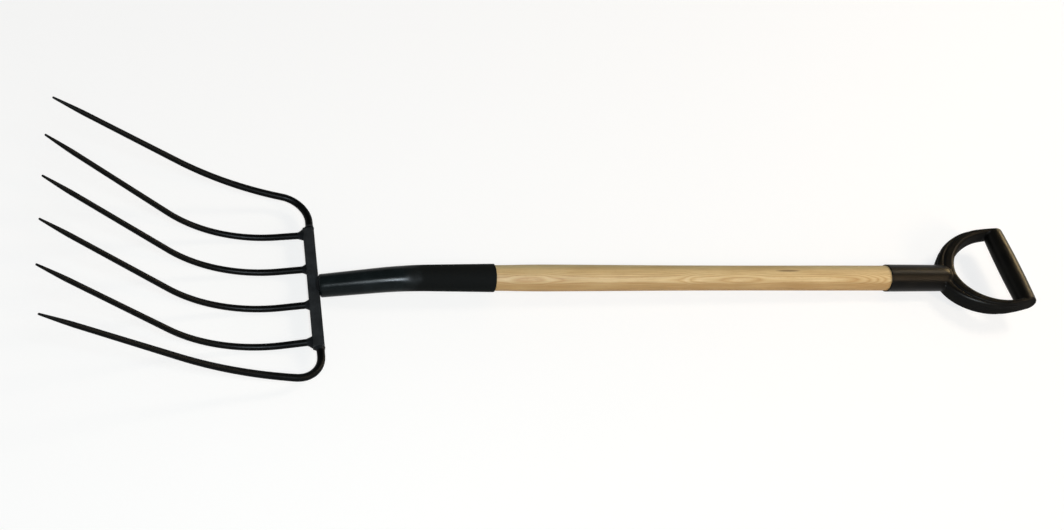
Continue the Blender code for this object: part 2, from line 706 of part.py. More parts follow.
def main():
    clear_scene()
    black_steel = paint("black_painted_steel", (0.012, 0.012, 0.013), 0.42)
    ash = paint("ash_wood", (0.62, 0.44, 0.26), 0.5)
    plastic = paint("black_plastic", (0.016, 0.014, 0.012), 0.48)
    zinc = paint("zinc_plated_steel", (0.55, 0.55, 0.54), 0.35, 1.0)

    fork = empty("fork")
    head = empty("head", fork)
    seat, pitch = socket_centre(SOCKET_LENGTH - NOSE_SEAT_DEPTH)
    head.location = seat
    head.rotation_euler = (0, -pitch, 0)

    products = [build_bar(black_steel, head)]
    last = INNER_TINES + 2
    products.append(build_outer_tine("tine_1", 1, black_steel, head))
    products.append(build_corner_weld("weld_1", 1, black_steel, head))
    for index in range(INNER_TINES):
        number = index + 2
        offset = inner_offset(index)
        products.append(build_inner_tine(f"tine_{number}", offset, black_steel, head))
        products.append(build_tine_weld(f"weld_{number}", offset, black_steel, head))
    products.append(build_outer_tine(f"tine_{last}", -1, black_steel, head))
    products.append(build_corner_weld(f"weld_{last}", -1, black_steel, head))
    products.append(build_nose_weld("socket_weld_top", 1, black_steel, head))
    products.append(build_nose_weld("socket_weld_under", -1, black_steel, head))

    socket = build_socket(black_steel, fork)
    shaft = build_shaft(ash, fork)
    grip = build_grip(plastic, fork)
    products += [socket, shaft, grip]
    products.append(build_rivet(zinc, black_steel, socket, shaft, fork))
    products.append(build_screw(zinc, plastic, grip, shaft, fork))
    lay_on_floor(fork, products)


main()
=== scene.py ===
"""Ensilage fork: the pieces that are seen, each finer than its CAD node and in its place.

Six black steel tines on a flat cross bar, a bent socket, an ash shaft and a moulded D-grip. The
fork's own frame has the shaft's axis as X, away from the head, and the socket's rear rim as its
origin. The head's frame has the tines' roots along -X and the bar's back edge at X = 0.
Everything is in metres.
"""

import logging
import math
from dataclasses import dataclass, field
from enum import Enum
from functools import partial
from typing import Any, Callable, Sequence

import bmesh
import bpy
from mathutils import Matrix, Vector
from mathutils.kdtree import KDTree


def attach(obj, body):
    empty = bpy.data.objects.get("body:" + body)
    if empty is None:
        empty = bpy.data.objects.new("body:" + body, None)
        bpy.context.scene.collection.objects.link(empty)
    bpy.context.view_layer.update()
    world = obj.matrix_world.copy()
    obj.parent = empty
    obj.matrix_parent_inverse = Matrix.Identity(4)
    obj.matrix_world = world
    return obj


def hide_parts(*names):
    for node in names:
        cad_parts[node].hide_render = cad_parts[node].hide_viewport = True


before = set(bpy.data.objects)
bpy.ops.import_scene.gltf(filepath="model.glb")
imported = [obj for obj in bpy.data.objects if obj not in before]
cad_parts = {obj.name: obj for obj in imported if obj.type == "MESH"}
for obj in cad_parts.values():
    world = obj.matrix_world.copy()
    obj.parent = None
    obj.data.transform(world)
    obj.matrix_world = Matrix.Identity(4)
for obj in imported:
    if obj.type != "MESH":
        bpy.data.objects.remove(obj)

Form = bmesh.types.BMesh
Material = bpy.types.Material
Mesh = bpy.types.Mesh
Node = bpy.types.Node
Object = bpy.types.Object
Tree = bpy.types.NodeTree
Source = Node | bpy.types.NodeSocket
Add = Callable[..., Node]
Pairs = list[tuple[float, float]]
Ring = list[Vector]
BeadRule = Callable[[Vector], tuple[float, float]]

LOG = logging.getLogger("fork")
MM = 0.001
GAP = 0.3 * MM
QUARTER = math.pi / 2
X_AXIS = Vector((1, 0, 0))
Y_AXIS = Vector((0, 1, 0))
Z_AXIS = Vector((0, 0, 1))


class Slot(Enum):
    """Material slots of the record."""

    STEEL = "black_painted_steel"
    ASH = "ash_wood"
    PLASTIC = "black_plastic"
    ZINC = "zinc_plated_steel"


class Side(Enum):
    """The two sides of the fork's middle plane, or of the bar."""

    PLUS = 1
    MINUS = -1


class Kind(Enum):
    """Kinds of node: each one's type and what is always set on it."""

    ADD = ("ShaderNodeMath", {"operation": "ADD"})
    SUBTRACT = ("ShaderNodeMath", {"operation": "SUBTRACT"})
    MULTIPLY = ("ShaderNodeMath", {"operation": "MULTIPLY"})
    DIVIDE = ("ShaderNodeMath", {"operation": "DIVIDE"})
    MULTIPLY_ADD = ("ShaderNodeMath", {"operation": "MULTIPLY_ADD"})
    POWER = ("ShaderNodeMath", {"operation": "POWER"})
    ROOT = ("ShaderNodeMath", {"operation": "SQRT"})
    SINE = ("ShaderNodeMath", {"operation": "SINE"})
    FRACTION = ("ShaderNodeMath", {"operation": "FRACT"})
    GREATER = ("ShaderNodeMath", {"operation": "GREATER_THAN"})
    MAXIMUM = ("ShaderNodeMath", {"operation": "MAXIMUM"})
    STRETCH = ("ShaderNodeVectorMath", {"operation": "MULTIPLY"})
    SCALE = ("ShaderNodeVectorMath", {"operation": "SCALE"})
    SPLIT = ("ShaderNodeSeparateXYZ", {})
    MIX = ("ShaderNodeMix", {"data_type": "FLOAT"})
    TINT = ("ShaderNodeMix", {"data_type": "RGBA"})
    RANGE = ("ShaderNodeMapRange", {})
    SOFT_RANGE = ("ShaderNodeMapRange", {"interpolation_type": "SMOOTHSTEP"})
    RAMP = ("ShaderNodeValToRGB", {})
    CURVE = ("ShaderNodeFloatCurve", {})
    NOISE = ("ShaderNodeTexNoise", {"Scale": 1.0})
    BUMP = ("ShaderNodeBump", {"Strength": 1.0})
    PLACE = ("ShaderNodeTexCoord", {})
    STORED = ("ShaderNodeAttribute", {})
    LIGHT_PATH = ("ShaderNodeLightPath", {})
    MATT = ("ShaderNodeBsdfDiffuse", {})
    GLOW = ("ShaderNodeEmission", {})
    ADD_SHADERS = ("ShaderNodeAddShader", {})
    MIX_SHADERS = ("ShaderNodeMixShader", {})
    GIVEN = ("NodeGroupInput", {})
    RESULT = ("NodeGroupOutput", {})
    STORED_FLOAT = ("GeometryNodeInputNamedAttribute", {"data_type": "FLOAT"})
    POSITION = ("GeometryNodeInputPosition", {})
    NORMAL = ("GeometryNodeInputNormal", {})
    MOVE = ("GeometryNodeSetPosition", {})
    SPLINE_LENGTH = ("GeometryNodeSplineLength", {})
    SPLINE_PLACE = ("GeometryNodeSplineParameter", {})
    CIRCLE = ("GeometryNodeCurvePrimitiveCircle", {"Radius": 1.0})
    SKIN = ("GeometryNodeCurveToMesh", {"Fill Caps": True})
    SMOOTH = ("GeometryNodeSetShadeSmooth", {})
    REALISE = ("GeometryNodeRealizeInstances", {})
    DRESS = ("GeometryNodeSetMaterial", {})


# Small tools


def linear(code: str) -> tuple[float, float, float, float]:
    """Linear RGBA of an sRGB hex colour such as #cbad80."""
    parts = [int(code[i:i + 2], 16) / 255 for i in (1, 3, 5)]
    return (*(c / 12.92 if c <= 0.04045 else ((c + 0.055) / 1.055) ** 2.4 for c in parts), 1.0)


def feed(socket: bpy.types.NodeSocket, value: Any) -> None:
    """Give an input its source, or else its value.

    Args:
        socket: The input.
        value: A socket, a node that gives its first live output, or a plain value.
    """
    if isinstance(value, Node):
        value = next(output for output in value.outputs if output.enabled)
    if isinstance(value, bpy.types.NodeSocket):
        socket.id_data.links.new(socket, value)
    else:
        socket.default_value = value


def add_node(tree: Tree, kind: Kind, *inputs: Any, **named: Any) -> Node:
    """Add a node, set it up and link its inputs.

    Args:
        tree: The tree that the node goes into.
        kind: The kind of node.
        inputs: Values or sources of its live inputs, in order.
        named: Properties, and values or sources of inputs by name, with _ for a space. "stops"
            are a ramp's (place, colour) pairs, and "points" a float curve's (x, y) pairs.

    Returns:
        The new node.
    """
    node_type, fixed = kind.value
    node = tree.nodes.new(node_type)
    settings = {**fixed, **named}
    for key in [key for key in settings if hasattr(node, key)]:
        setattr(node, key, settings.pop(key))
    stops, points = settings.pop("stops", ()), settings.pop("points", ())
    if stops:
        elements = node.color_ramp.elements
        while len(elements) > 1:
            elements.remove(elements[-1])
        elements[0].position = stops[0][0]
        elements[0].color = linear(stops[0][1])
        for place, colour in stops[1:]:
            elements.new(place).color = linear(colour)
    if points:
        curve = node.mapping.curves[0]
        curve.points[0].location = points[0]
        curve.points[-1].location = points[-1]
        for point in points[1:-1]:
            curve.points.new(*point)
        node.mapping.update()
    for socket, value in zip([socket for socket in node.inputs if socket.enabled], inputs):
        feed(socket, value)
    for key, value in settings.items():
        feed(node.inputs[key.replace("_", " ")], value)
    return node


def ring_about(centre: Vector, across: Vector, up: Vector, radius: float, sides: int) -> Ring:
    """Circle of points round a centre, in the plane of two unit vectors."""
    turns = [2 * math.pi * j / sides for j in range(sides)]
    return [centre + radius * (math.cos(a) * across + math.sin(a) * up) for a in turns]


def loft(rings: Sequence[Ring], closed: bool = False) -> Form:
    """Skin rings of equal length.

    Args:
        rings: Rings of points, in order.
        closed: Join the last ring to the first. The ends are capped otherwise.

    Returns:
        The closed skin.
    """
    form = bmesh.new()
    loops = [[form.verts.new(point) for point in ring] for ring in rings]
    pairs = list(zip(loops, loops[1:]))
    if closed:
        pairs.append((loops[-1], loops[0]))
    for low, high in pairs:
        for j, vertex in enumerate(low):
            k = (j + 1) % len(low)
            form.faces.new((vertex, low[k], high[k], high[j]))
    if not closed:
        for end in (loops[0][::-1], loops[-1]):
            centre = form.verts.new(sum((v.co for v in end), Vector()) / len(end))
            for j, vertex in enumerate(end):
                form.faces.new((vertex, end[(j + 1) % len(end)], centre))
    return form


def turned(
    profile: Pairs, sides: int, axis: Vector = X_AXIS, across: Vector = Y_AXIS,
    centre: Vector = Vector((0, 0, 0)),
) -> Form:
    """Round body from (distance along the axis, radius) pairs."""
    up = axis.cross(across)
    return loft([ring_about(centre + at * axis, across, up, radius, sides) for at, radius in profile])


def to_mesh(form: Form, name: str) -> Mesh:
    """Mesh from a form, which is freed.

    Args:
        form: The form.
        name: The mesh's name.

    Returns:
        The mesh.
    """
    mesh = bpy.data.meshes.new(name)
    form.to_mesh(mesh)
    form.free()
    return mesh


def join(whole: Form, part: Form) -> None:
    """Add one form to another.

    Args:
        whole: The form that grows.
        part: The form that is added, facing outwards. It is freed.
    """
    bmesh.ops.recalc_face_normals(part, faces=part.faces)
    scratch = to_mesh(part, "scratch")
    whole.from_mesh(scratch)
    bpy.data.meshes.remove(scratch)


def make_object(data: bpy.types.ID, name: str) -> Object:
    """Object at the origin.

    Args:
        data: The mesh, curve, lamp or camera that it shows.
        name: Its name.

    Returns:
        The object.
    """
    obj = bpy.data.objects.new(name, data)
    bpy.context.collection.objects.link(obj)
    return obj


def make_piece(
    name: str, form: Form, place: Matrix, finish: Material | None = None, sharp: float = 35
) -> Object:
    """Smooth-shaded object from a form.

    Args:
        name: The object's name.
        form: The form in its own frame. It is freed.
        place: That frame in the world.
        finish: Its material.
        sharp: Edges above this angle, in degrees, stay sharp.

    Returns:
        The object, at the origin, with its place in its mesh and its faces pointing outwards.
    """
    form.transform(place)
    bmesh.ops.recalc_face_normals(form, faces=form.faces)
    mesh = to_mesh(form, name)
    mesh.shade_smooth()
    mesh.set_sharp_from_angle(angle=math.radians(sharp))
    if finish:
        mesh.materials.append(finish)
    return make_object(mesh, name)


def store(mesh: Mesh, name: str, rule: Callable[[Vector], Any], kind: str = "FLOAT") -> None:
    """Store a value on each vertex.

    Args:
        mesh: The mesh to write on.
        name: The attribute's name.
        rule: Gives the value from the vertex's place in the world.
        kind: FLOAT or FLOAT_VECTOR.
    """
    values = mesh.attributes.new(name, kind, "POINT").data
    for vertex, value in zip(mesh.vertices, values):
        setattr(value, "value" if kind == "FLOAT" else "vector", rule(vertex.co))


def evaluated(obj: Object) -> Mesh:
    """Plain mesh of an object with its modifiers applied.

    Args:
        obj: The object. It is removed.

    Returns:
        The mesh.
    """
    graph = bpy.context.evaluated_depsgraph_get()
    mesh = bpy.data.meshes.new_from_object(
        obj.evaluated_get(graph), preserve_all_data_layers=True, depsgraph=graph
    )
    bpy.data.objects.remove(obj)
    return mesh


def carve(obj: Object, cutters: Sequence[Object]) -> Object:
    """Cut forms out of an object.

    Args:
        obj: The object.
        cutters: The forms. They are removed.

    Returns:
        A new object of the same name in its place.
    """
    for cutter in cutters:
        modifier = obj.modifiers.new("carve", "BOOLEAN")
        modifier.operation = "DIFFERENCE"
        modifier.solver = "EXACT"
        modifier.object = cutter
    name = obj.name
    mesh = evaluated(obj)
    for cutter in cutters:
        bpy.data.objects.remove(cutter)
    return make_object(mesh, name)


def new_tree(name: str, lengths: Sequence[str], counts: Sequence[str] = ()) -> tuple[Tree, Add, Any]:
    """Geometry Nodes tree with a geometry, named sizes and an "Enamel" material as its inputs.

    Args:
        name: The tree's name.
        lengths: Names of its lengths and other plain numbers.
        counts: Names of its whole numbers.

    Returns:
        The tree, what adds a node to it, and its inputs by name.
    """
    tree = bpy.data.node_groups.new(name, "GeometryNodeTree")
    sockets = [("Geometry", "Geometry"), *((label, "Float") for label in lengths)]
    sockets += [*((label, "Int") for label in counts), ("Enamel", "Material")]
    for label, kind in sockets:
        tree.interface.new_socket(label, in_out="INPUT", socket_type="NodeSocket" + kind)
    tree.interface.new_socket("Geometry", in_out="OUTPUT", socket_type="NodeSocketGeometry")
    add = partial(add_node, tree)
    return tree, add, add(Kind.GIVEN).outputs


def end_tree(add: Add, geometry: Node, material: bpy.types.NodeSocket) -> None:
    """Finish a tree: smooth shading, real geometry, and the material that a socket gives."""
    real = add(Kind.REALISE, add(Kind.SMOOTH, Geometry=geometry))
    add(Kind.RESULT, add(Kind.DRESS, Geometry=real, Material=material))


def run_nodes(obj: Object, tree: Tree, inputs: dict[str, Any], name: str) -> Object:
    """Run a Geometry Nodes tree on an object.

    Args:
        obj: The object that the tree starts from. It is removed.
        tree: The tree.
        inputs: Values for the tree's named inputs.
        name: The name of the result.

    Returns:
        The result as a plain mesh in an object of its own.
    """
    modifier = obj.modifiers.new(tree.name, "NODES")
    modifier.node_group = tree
    sockets = {s.name: s.identifier for s in tree.interface.items_tree if s.in_out == "INPUT"}
    for label, value in inputs.items():
        modifier[sockets[label]] = value
    mesh = evaluated(obj)
    mesh.name = name
    return make_object(mesh, name)


def hand_in(piece: Object, node: str) -> None:
    """Put a finished piece in the place of its CAD node.

    Args:
        piece: The piece.
        node: The CAD node's name.
    """
    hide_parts(node)
    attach(piece, "root")
    LOG.info("%s: %d triangles", piece.name, sum(len(p.vertices) - 2 for p in piece.data.polygons))


# Finishes

# A noise lies between these nearly everywhere
NOISE_SPAN = (0.3, 0.7)


@dataclass(frozen=True)
class Finish:
    """A surface. What is the same all over it is set on the shader's own sockets."""

    name: str
    shader: dict[str, Any] = field(default_factory=dict)

    def material(self) -> Material:
        """Build the material.

        Returns:
            The new material, with its constants set and its nodes added.
        """
        material = bpy.data.materials.new(self.name)
        material.use_nodes = True
        shader = material.node_tree.nodes["Principled BSDF"]
        for key, value in self.shader.items():
            shader.inputs[key].default_value = value
        self.dress(partial(add_node, material.node_tree), shader)
        return material

    def dress(self, add: Add, shader: Node) -> None:
        """Add what changes over the surface; each finish has its own."""
        raise NotImplementedError

    @staticmethod
    def coat(shader: Node, colour: Node, rough: Node, normal: Node) -> None:
        """Link the shader's colour, roughness and normal."""
        for key, source in (("Base Color", colour), ("Roughness", rough), ("Normal", normal)):
            feed(shader.inputs[key], source)

    @staticmethod
    def grain(
        add: Add, place: Source, size: float, detail: float = 2,
        stretch: tuple[float, float, float] = (1, 1, 1),
    ) -> Node:
        """Noise round 0.5, its features of a real size and some times longer along each axis."""
        scale = tuple(1 / (size * s) for s in stretch)
        return add(Kind.NOISE, Vector=add(Kind.STRETCH, place, scale), Detail=detail)


@dataclass(frozen=True)
class StovedEnamel(Finish):
    """Thin satin black stoving enamel over forged steel.

    The forging's slow waves and the enamel's fine orange peel break the highlights up, and the
    colour drifts a little between bluish and neutral black.
    """

    dark: str = "#0c0e10"
    light: str = "#16191c"
    gloss: tuple[float, float] = (0.36, 0.5)
    drift_size: float = 14 * MM
    wave: float = 0.1 * MM
    wave_size: float = 9 * MM
    peel: float = 0.025 * MM
    peel_size: float = 1.3 * MM
    peel_share: float = 0.45

    def dress(self, add: Add, shader: Node) -> Node:
        """Add the colour, roughness and relief.

        Args:
            add: Adds a node to the material.
            shader: Its shader.

        Returns:
            The slow noise, for more detail that follows it.
        """
        place = add(Kind.PLACE).outputs["Object"]
        slow = self.grain(add, place, self.drift_size, 3)
        waves = self.grain(add, place, self.wave_size, 1)
        peel = self.grain(add, place, self.peel_size)
        mixed = add(Kind.MIX, self.peel_share, slow, peel)
        colour = add(Kind.RAMP, mixed, stops=[(0.36, self.dark), (0.64, self.light)])
        rough = add(Kind.RANGE, mixed, *NOISE_SPAN, *self.gloss)
        swell = add(Kind.BUMP, Distance=self.wave, Height=waves)
        self.coat(shader, colour, rough, add(Kind.BUMP, Distance=self.peel, Height=peel, Normal=swell))
        return slow


@dataclass(frozen=True)
class SocketEnamel(StovedEnamel):
    """The same enamel on the socket, glossy towards the nose and dull towards the rim.

    The dull half swallows the light, so the eye sees one flat greenish black, and the glossy
    half shows a bluish highlight down its middle. The "reach" attribute is the distance from
    the rim.
    """

    dark: str = "#0f1415"
    light: str = "#161c1e"
    gloss: tuple[float, float] = (0.17, 0.27)
    dull: str = "#040605"
    dull_roughness: float = 0.85
    gloss_from: float = 84 * MM
    gloss_full: float = 116 * MM
    uneven: float = 30 * MM

    def dress(self, add: Add, shader: Node) -> Node:
        """Add the enamel, then the dull half over it.

        Args:
            add: Adds a node to the material.
            shader: Its shader.

        Returns:
            The slow noise.
        """
        slow = super().dress(add, shader)
        reach = add(Kind.STORED, attribute_name="reach").outputs["Fac"]
        bent = add(Kind.MULTIPLY_ADD, slow, self.uneven, reach)
        edges = (self.gloss_from + self.uneven / 2, self.gloss_full + self.uneven / 2)
        glossy = add(Kind.SOFT_RANGE, bent, *edges, 0.0, 1.0)
        covers = (("Base Color", Kind.TINT, linear(self.dull)), ("Roughness", Kind.MIX, self.dull_roughness))
        for key, kind, dull in covers:
            under = shader.inputs[key].links[0].from_socket
            feed(shader.inputs[key], add(kind, glossy, dull, under))
        return slow


@dataclass(frozen=True)
class AshWood(Finish):
    """Flat-sawn ash, turned, sanded and lightly oiled.

    Growth rings are nearly flat sheets in the wood. The turned surface cuts them, so they show
    as nested ovals and arrowheads down the middle and as close straight lines at the sides. The
    spring wood's open pores are short dark dashes along the grain. The "grain" attribute is the
    place in the wood: along the shaft, across it and up through the sheets.
    """

    # How far the sheets rise (second value) along the shaft (first), in millimetres, chosen so
    # that the ovals and arrowheads lie where the photographed shaft has them
    rise: tuple[tuple[float, float], ...] = (
        (-80, -2.16), (0, -0.66), (13, -0.53), (22, -0.27), (39, -0.42), (56, -0.82),
        (64, -1.23), (77, -1.59), (90, -1.89), (116, -2.01), (158, -1.93), (197, -1.68),
        (219, -1.4), (232, -1.13), (239, -0.75), (247, -0.19), (259, 0.1), (275, 0.32),
        (293, 0.72), (311, 0.88), (332, 0.63), (345, 0.24), (363, 0.0), (405, -0.2),
        (444, -0.38), (460, -0.59), (470, -0.81), (478, -1.15), (487, -1.67), (494, -2.19),
        (500, -2.61), (507, -3.17), (513, -3.63), (521, -4.27), (600, -10.27),
    )
    ring: float = 0.92 * MM
    # Waves of the sheets: feature size, how many times longer along the shaft, and height
    waves: tuple[tuple[float, float, float], ...] = ((9 * MM, 9, 0.2 * MM), (2.2 * MM, 12, 0.2 * MM))
    tones: tuple[tuple[float, str], ...] = (
        (0.0, "#c4a16c"), (0.12, "#cfb07c"), (0.38, "#dbc394"), (0.72, "#d5bb89"), (1.0, "#c4a16c"),
    )
    # Painted shade along the shaft's sides: darker and greyer towards one edge, darker and browner towards
    # the other: colour, from, to (mm) and strength
    sides: tuple[tuple[str, float, float, float], ...] = (
        ("#a29b72", 3, 11, 0.08), ("#a29b72", 11, 15.2, 0.6),
        ("#ac8652", -1.5, -5, 0.55), ("#ac8652", -10, -15.4, 0.85),
    )
    fibre_size: float = 0.8 * MM
    fibre_depth: float = 0.02 * MM
    blotch_size: float = 9 * MM
    pore: str = "#a8834f"
    pore_size: float = 0.45 * MM
    pore_depth: float = 0.05 * MM
    gloss: tuple[float, float] = (0.5, 0.62)
    mark: str = "#6f5636"
    mark_at: tuple[float, float] = (376 * MM, 10.8 * MM)
    mark_size: tuple[float, float] = (20 * MM, 1.3 * MM)

    def dress(self, add: Add, shader: Node) -> None:
        """Add the rings, pores, fibres and the one dark mark.

        Args:
            add: Adds a node to the material.
            shader: Its shader.
        """
        place = add(Kind.STORED, attribute_name="grain").outputs["Vector"]
        parts = add(Kind.SPLIT, place)
        rings = self.rings(add, place, parts)
        fibre = self.grain(add, place, self.fibre_size, 2, (45, 1, 1))
        blotch = self.grain(add, place, self.blotch_size, 2, (8, 1, 1))
        pores = self.pores(add, place, rings)
        colour = self.tint(add, add(Kind.RAMP, rings, stops=self.tones), parts, (fibre, blotch))
        colour = add(Kind.TINT, pores, colour, linear(self.pore))
        colour = add(Kind.TINT, self.spindle(add, parts), colour, linear(self.mark))
        rough = add(Kind.RANGE, fibre, *NOISE_SPAN, *self.gloss)
        threads = add(Kind.BUMP, Distance=self.fibre_depth, Height=fibre)
        pits = add(Kind.BUMP, Distance=self.pore_depth, Height=pores, Normal=threads, invert=True)
        self.coat(shader, colour, rough, pits)

    def rings(self, add: Add, place: Source, parts: Node) -> Node:
        """Place within a growth ring, from 0 in the spring wood to 1 at the next spring.

        Args:
            add: Adds a node to the material.
            place: Place in the wood.
            parts: The same, separated.

        Returns:
            The node that gives the place within the ring.
        """
        xs, ys = zip(*self.rise)
        start, span = xs[0], xs[-1] - xs[0]
        low, height = min(ys), max(ys) - min(ys)
        points = [((x - start) / span, (y - low) / height) for x, y in self.rise]
        share = add(Kind.MULTIPLY_ADD, parts.outputs["X"], 1 / (span * MM), -start / span)
        curve = add(Kind.CURVE, Value=share, points=points)
        bent = add(Kind.MULTIPLY_ADD, curve, height * MM, parts.outputs["Z"])
        for size, length, amount in self.waves:
            noise = self.grain(add, place, size, 1, (length, 1, 1))
            bent = add(Kind.MULTIPLY_ADD, noise, amount * 2, bent)
        return add(Kind.FRACTION, add(Kind.DIVIDE, bent, self.ring))

    def pores(self, add: Add, place: Source, rings: Node) -> Node:
        """Open pores of the spring wood: 0.3 mm wide and some 6 mm long.

        Args:
            add: Adds a node to the material.
            place: Place in the wood.
            rings: Place within a growth ring.

        Returns:
            The node that is above 0 in a pore.
        """
        dashes = self.grain(add, place, self.pore_size, 1, (14, 1, 1))
        holes = add(Kind.RANGE, dashes, 0.56, 0.68, 0.0, 0.55)
        spring = add(Kind.RANGE, rings, 0.5, 0.12, 0.15, 1.0)
        return add(Kind.MULTIPLY, holes, spring)

    def tint(self, add: Add, colour: Node, parts: Node, noises: tuple[Node, Node]) -> Node:
        """Painted shade, darker and greyer along one side and darker and browner along the other, with
        fibres and slow blotches.

        Args:
            add: Adds a node to the material.
            colour: The rings' colour.
            parts: Place in the wood, separated.
            noises: The fibres and the blotches.

        Returns:
            The node that gives the new colour.
        """
        # Painted shade: bands that darken the wood towards the shaft's sides
        for edge, start, end, amount in self.sides:
            side = add(Kind.RANGE, parts.outputs["Y"], start * MM, end * MM, 0.0, amount)
            colour = add(Kind.TINT, side, colour, linear(edge))
        for noise, low in zip(noises, ("#efebe6", "#f0e9df")):
            wash = add(Kind.RAMP, noise, stops=[(0.32, low), (0.62, "#ffffff")])
            colour = add(Kind.TINT, 1.0, colour, wash, blend_type="MULTIPLY")
        return colour

    def spindle(self, add: Add, parts: Node) -> Node:
        """Mask of the one short dark mark in the wood.

        Args:
            add: Adds a node to the material.
            parts: Place in the wood, separated.

        Returns:
            The node that is above 0 in the mark.
        """
        squares = []
        for axis, at, size in zip("XY", self.mark_at, self.mark_size):
            off = add(Kind.MULTIPLY_ADD, parts.outputs[axis], 1 / size, -at / size)
            squares.append(add(Kind.MULTIPLY, off, off))
        mask = add(Kind.SOFT_RANGE, add(Kind.ADD, *squares), 1.0, 0.1, 0.0, 0.8)
        return add(Kind.MULTIPLY, mask, add(Kind.GREATER, parts.outputs["Z"], 0.0))


@dataclass(frozen=True)
class MouldedPolypropylene(Finish):
    """Black polypropylene from a spark-eroded mould.

    The fine matt texture spreads each light into a soft, slightly brown band, and faint flow
    marks change the gloss over a few centimetres. Hands have worn the sleeve, the bar and the
    bow's ridges smoother ("polish" attribute), so they catch the light, while the grooves and
    the bow's walls stay matt and black.
    """

    dark: str = "#060606"
    light: str = "#0c0b09"
    worn: tuple[float, float] = (0.33, 0.41)
    matt: float = 0.85
    flow_size: float = 22 * MM
    # The mould's texture is about 0.1 mm; drawn at 0.5 mm so that it shows
    texture_size: float = 0.5 * MM
    texture_depth: float = 0.006 * MM
    texture_share: float = 0.35

    def dress(self, add: Add, shader: Node) -> None:
        """Add the flow marks, the texture and the wear.

        Args:
            add: Adds a node to the material.
            shader: Its shader.
        """
        place = add(Kind.PLACE).outputs["Object"]
        flow = self.grain(add, place, self.flow_size)
        texture = self.grain(add, place, self.texture_size)
        mixed = add(Kind.MIX, self.texture_share, flow, texture)
        colour = add(Kind.RAMP, mixed, stops=[(0.38, self.dark), (0.62, self.light)])
        smooth = add(Kind.RANGE, mixed, 0.35, 0.65, *self.worn)
        polish = add(Kind.STORED, attribute_name="polish").outputs["Fac"]
        rough = add(Kind.MIX, polish, self.matt, smooth)
        self.coat(shader, colour, rough, add(Kind.BUMP, Distance=self.texture_depth, Height=texture))


@dataclass(frozen=True)
class ZincPlate(Finish):
    """Bright zinc plate, passivated.

    The passivation shifts between bluish and straw, and fine tumbling marks dull the shine.
    """

    cool: str = "#b4bbc2"
    warm: str = "#c9c2a8"
    film_size: float = 2.5 * MM
    mark_size: float = 0.25 * MM
    mark_depth: float = 0.01 * MM
    gloss: tuple[float, float] = (0.24, 0.42)

    def dress(self, add: Add, shader: Node) -> None:
        """Add the film's colours and the tumbling marks.

        Args:
            add: Adds a node to the material.
            shader: Its shader.
        """
        place = add(Kind.PLACE).outputs["Object"]
        film = self.grain(add, place, self.film_size)
        marks = self.grain(add, place, self.mark_size)
        colour = add(Kind.RAMP, film, stops=[(0.4, self.cool), (0.66, self.warm)])
        rough = add(Kind.RANGE, marks, *NOISE_SPAN, *self.gloss)
        self.coat(shader, colour, rough, add(Kind.BUMP, Distance=self.mark_depth, Height=marks))


@dataclass(frozen=True)
class PaleFloor(Finish):
    """Matt white studio floor that lights up for the camera and reflections, and keeps shadows."""

    pale: str = "#e6e6e6"
    shadow_share: float = 0.3
    glow: float = 0.74

    def dress(self, add: Add, shader: Node) -> None:
        """Put a plain matt surface and a glowing one in the shader's place.

        Args:
            add: Adds a node to the material.
            shader: Its shader, which is removed.
        """
        rays = add(Kind.LIGHT_PATH).outputs
        seen = add(Kind.MAXIMUM, rays["Is Camera Ray"], rays["Is Glossy Ray"])
        seen = add(Kind.MAXIMUM, seen, rays["Is Transmission Ray"])
        matt = add(Kind.MATT, Color=linear(self.pale))
        faint = add(Kind.MATT, Color=(self.shadow_share, self.shadow_share, self.shadow_share, 1))
        white = add(Kind.ADD_SHADERS, faint, add(Kind.GLOW, Strength=self.glow))
        output = shader.outputs["BSDF"].links[0].to_socket
        feed(output, add(Kind.MIX_SHADERS, seen, matt, white))
        shader.id_data.nodes.remove(shader)


# The frames


@dataclass(frozen=True)
class ForkFrame:
    """Where the fork lies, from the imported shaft's two end faces."""

    place: Matrix
    end_band: float = 0.9 * MM

    @property
    def back(self) -> Matrix:
        """From the world to the fork's frame."""
        return self.place.inverted()

    @classmethod
    def from_shaft(cls, shaft: Object, seat: float) -> "ForkFrame":
        """Find the frame.

        Args:
            shaft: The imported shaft, whose front end lies ahead of the socket's rim.
            seat: How far.

        Returns:
            The fork's frame in the world.
        """
        points = {tuple(round(c, 6) for c in vertex.co) for vertex in shaft.data.vertices}
        centres = []
        for sign in (1, -1):
            end = min(sign * p[0] for p in points)
            face = [Vector(p) for p in points if sign * p[0] < end + cls.end_band]
            centres.append(sum(face, Vector()) / len(face))
        along = (centres[1] - centres[0]).normalized()
        up = along.cross(Y_AXIS)
        rows = zip(along, Y_AXIS, up, centres[0] + along * seat)
        return cls(Matrix([*(tuple(row) for row in rows), (0, 0, 0, 1)]))


# The pieces


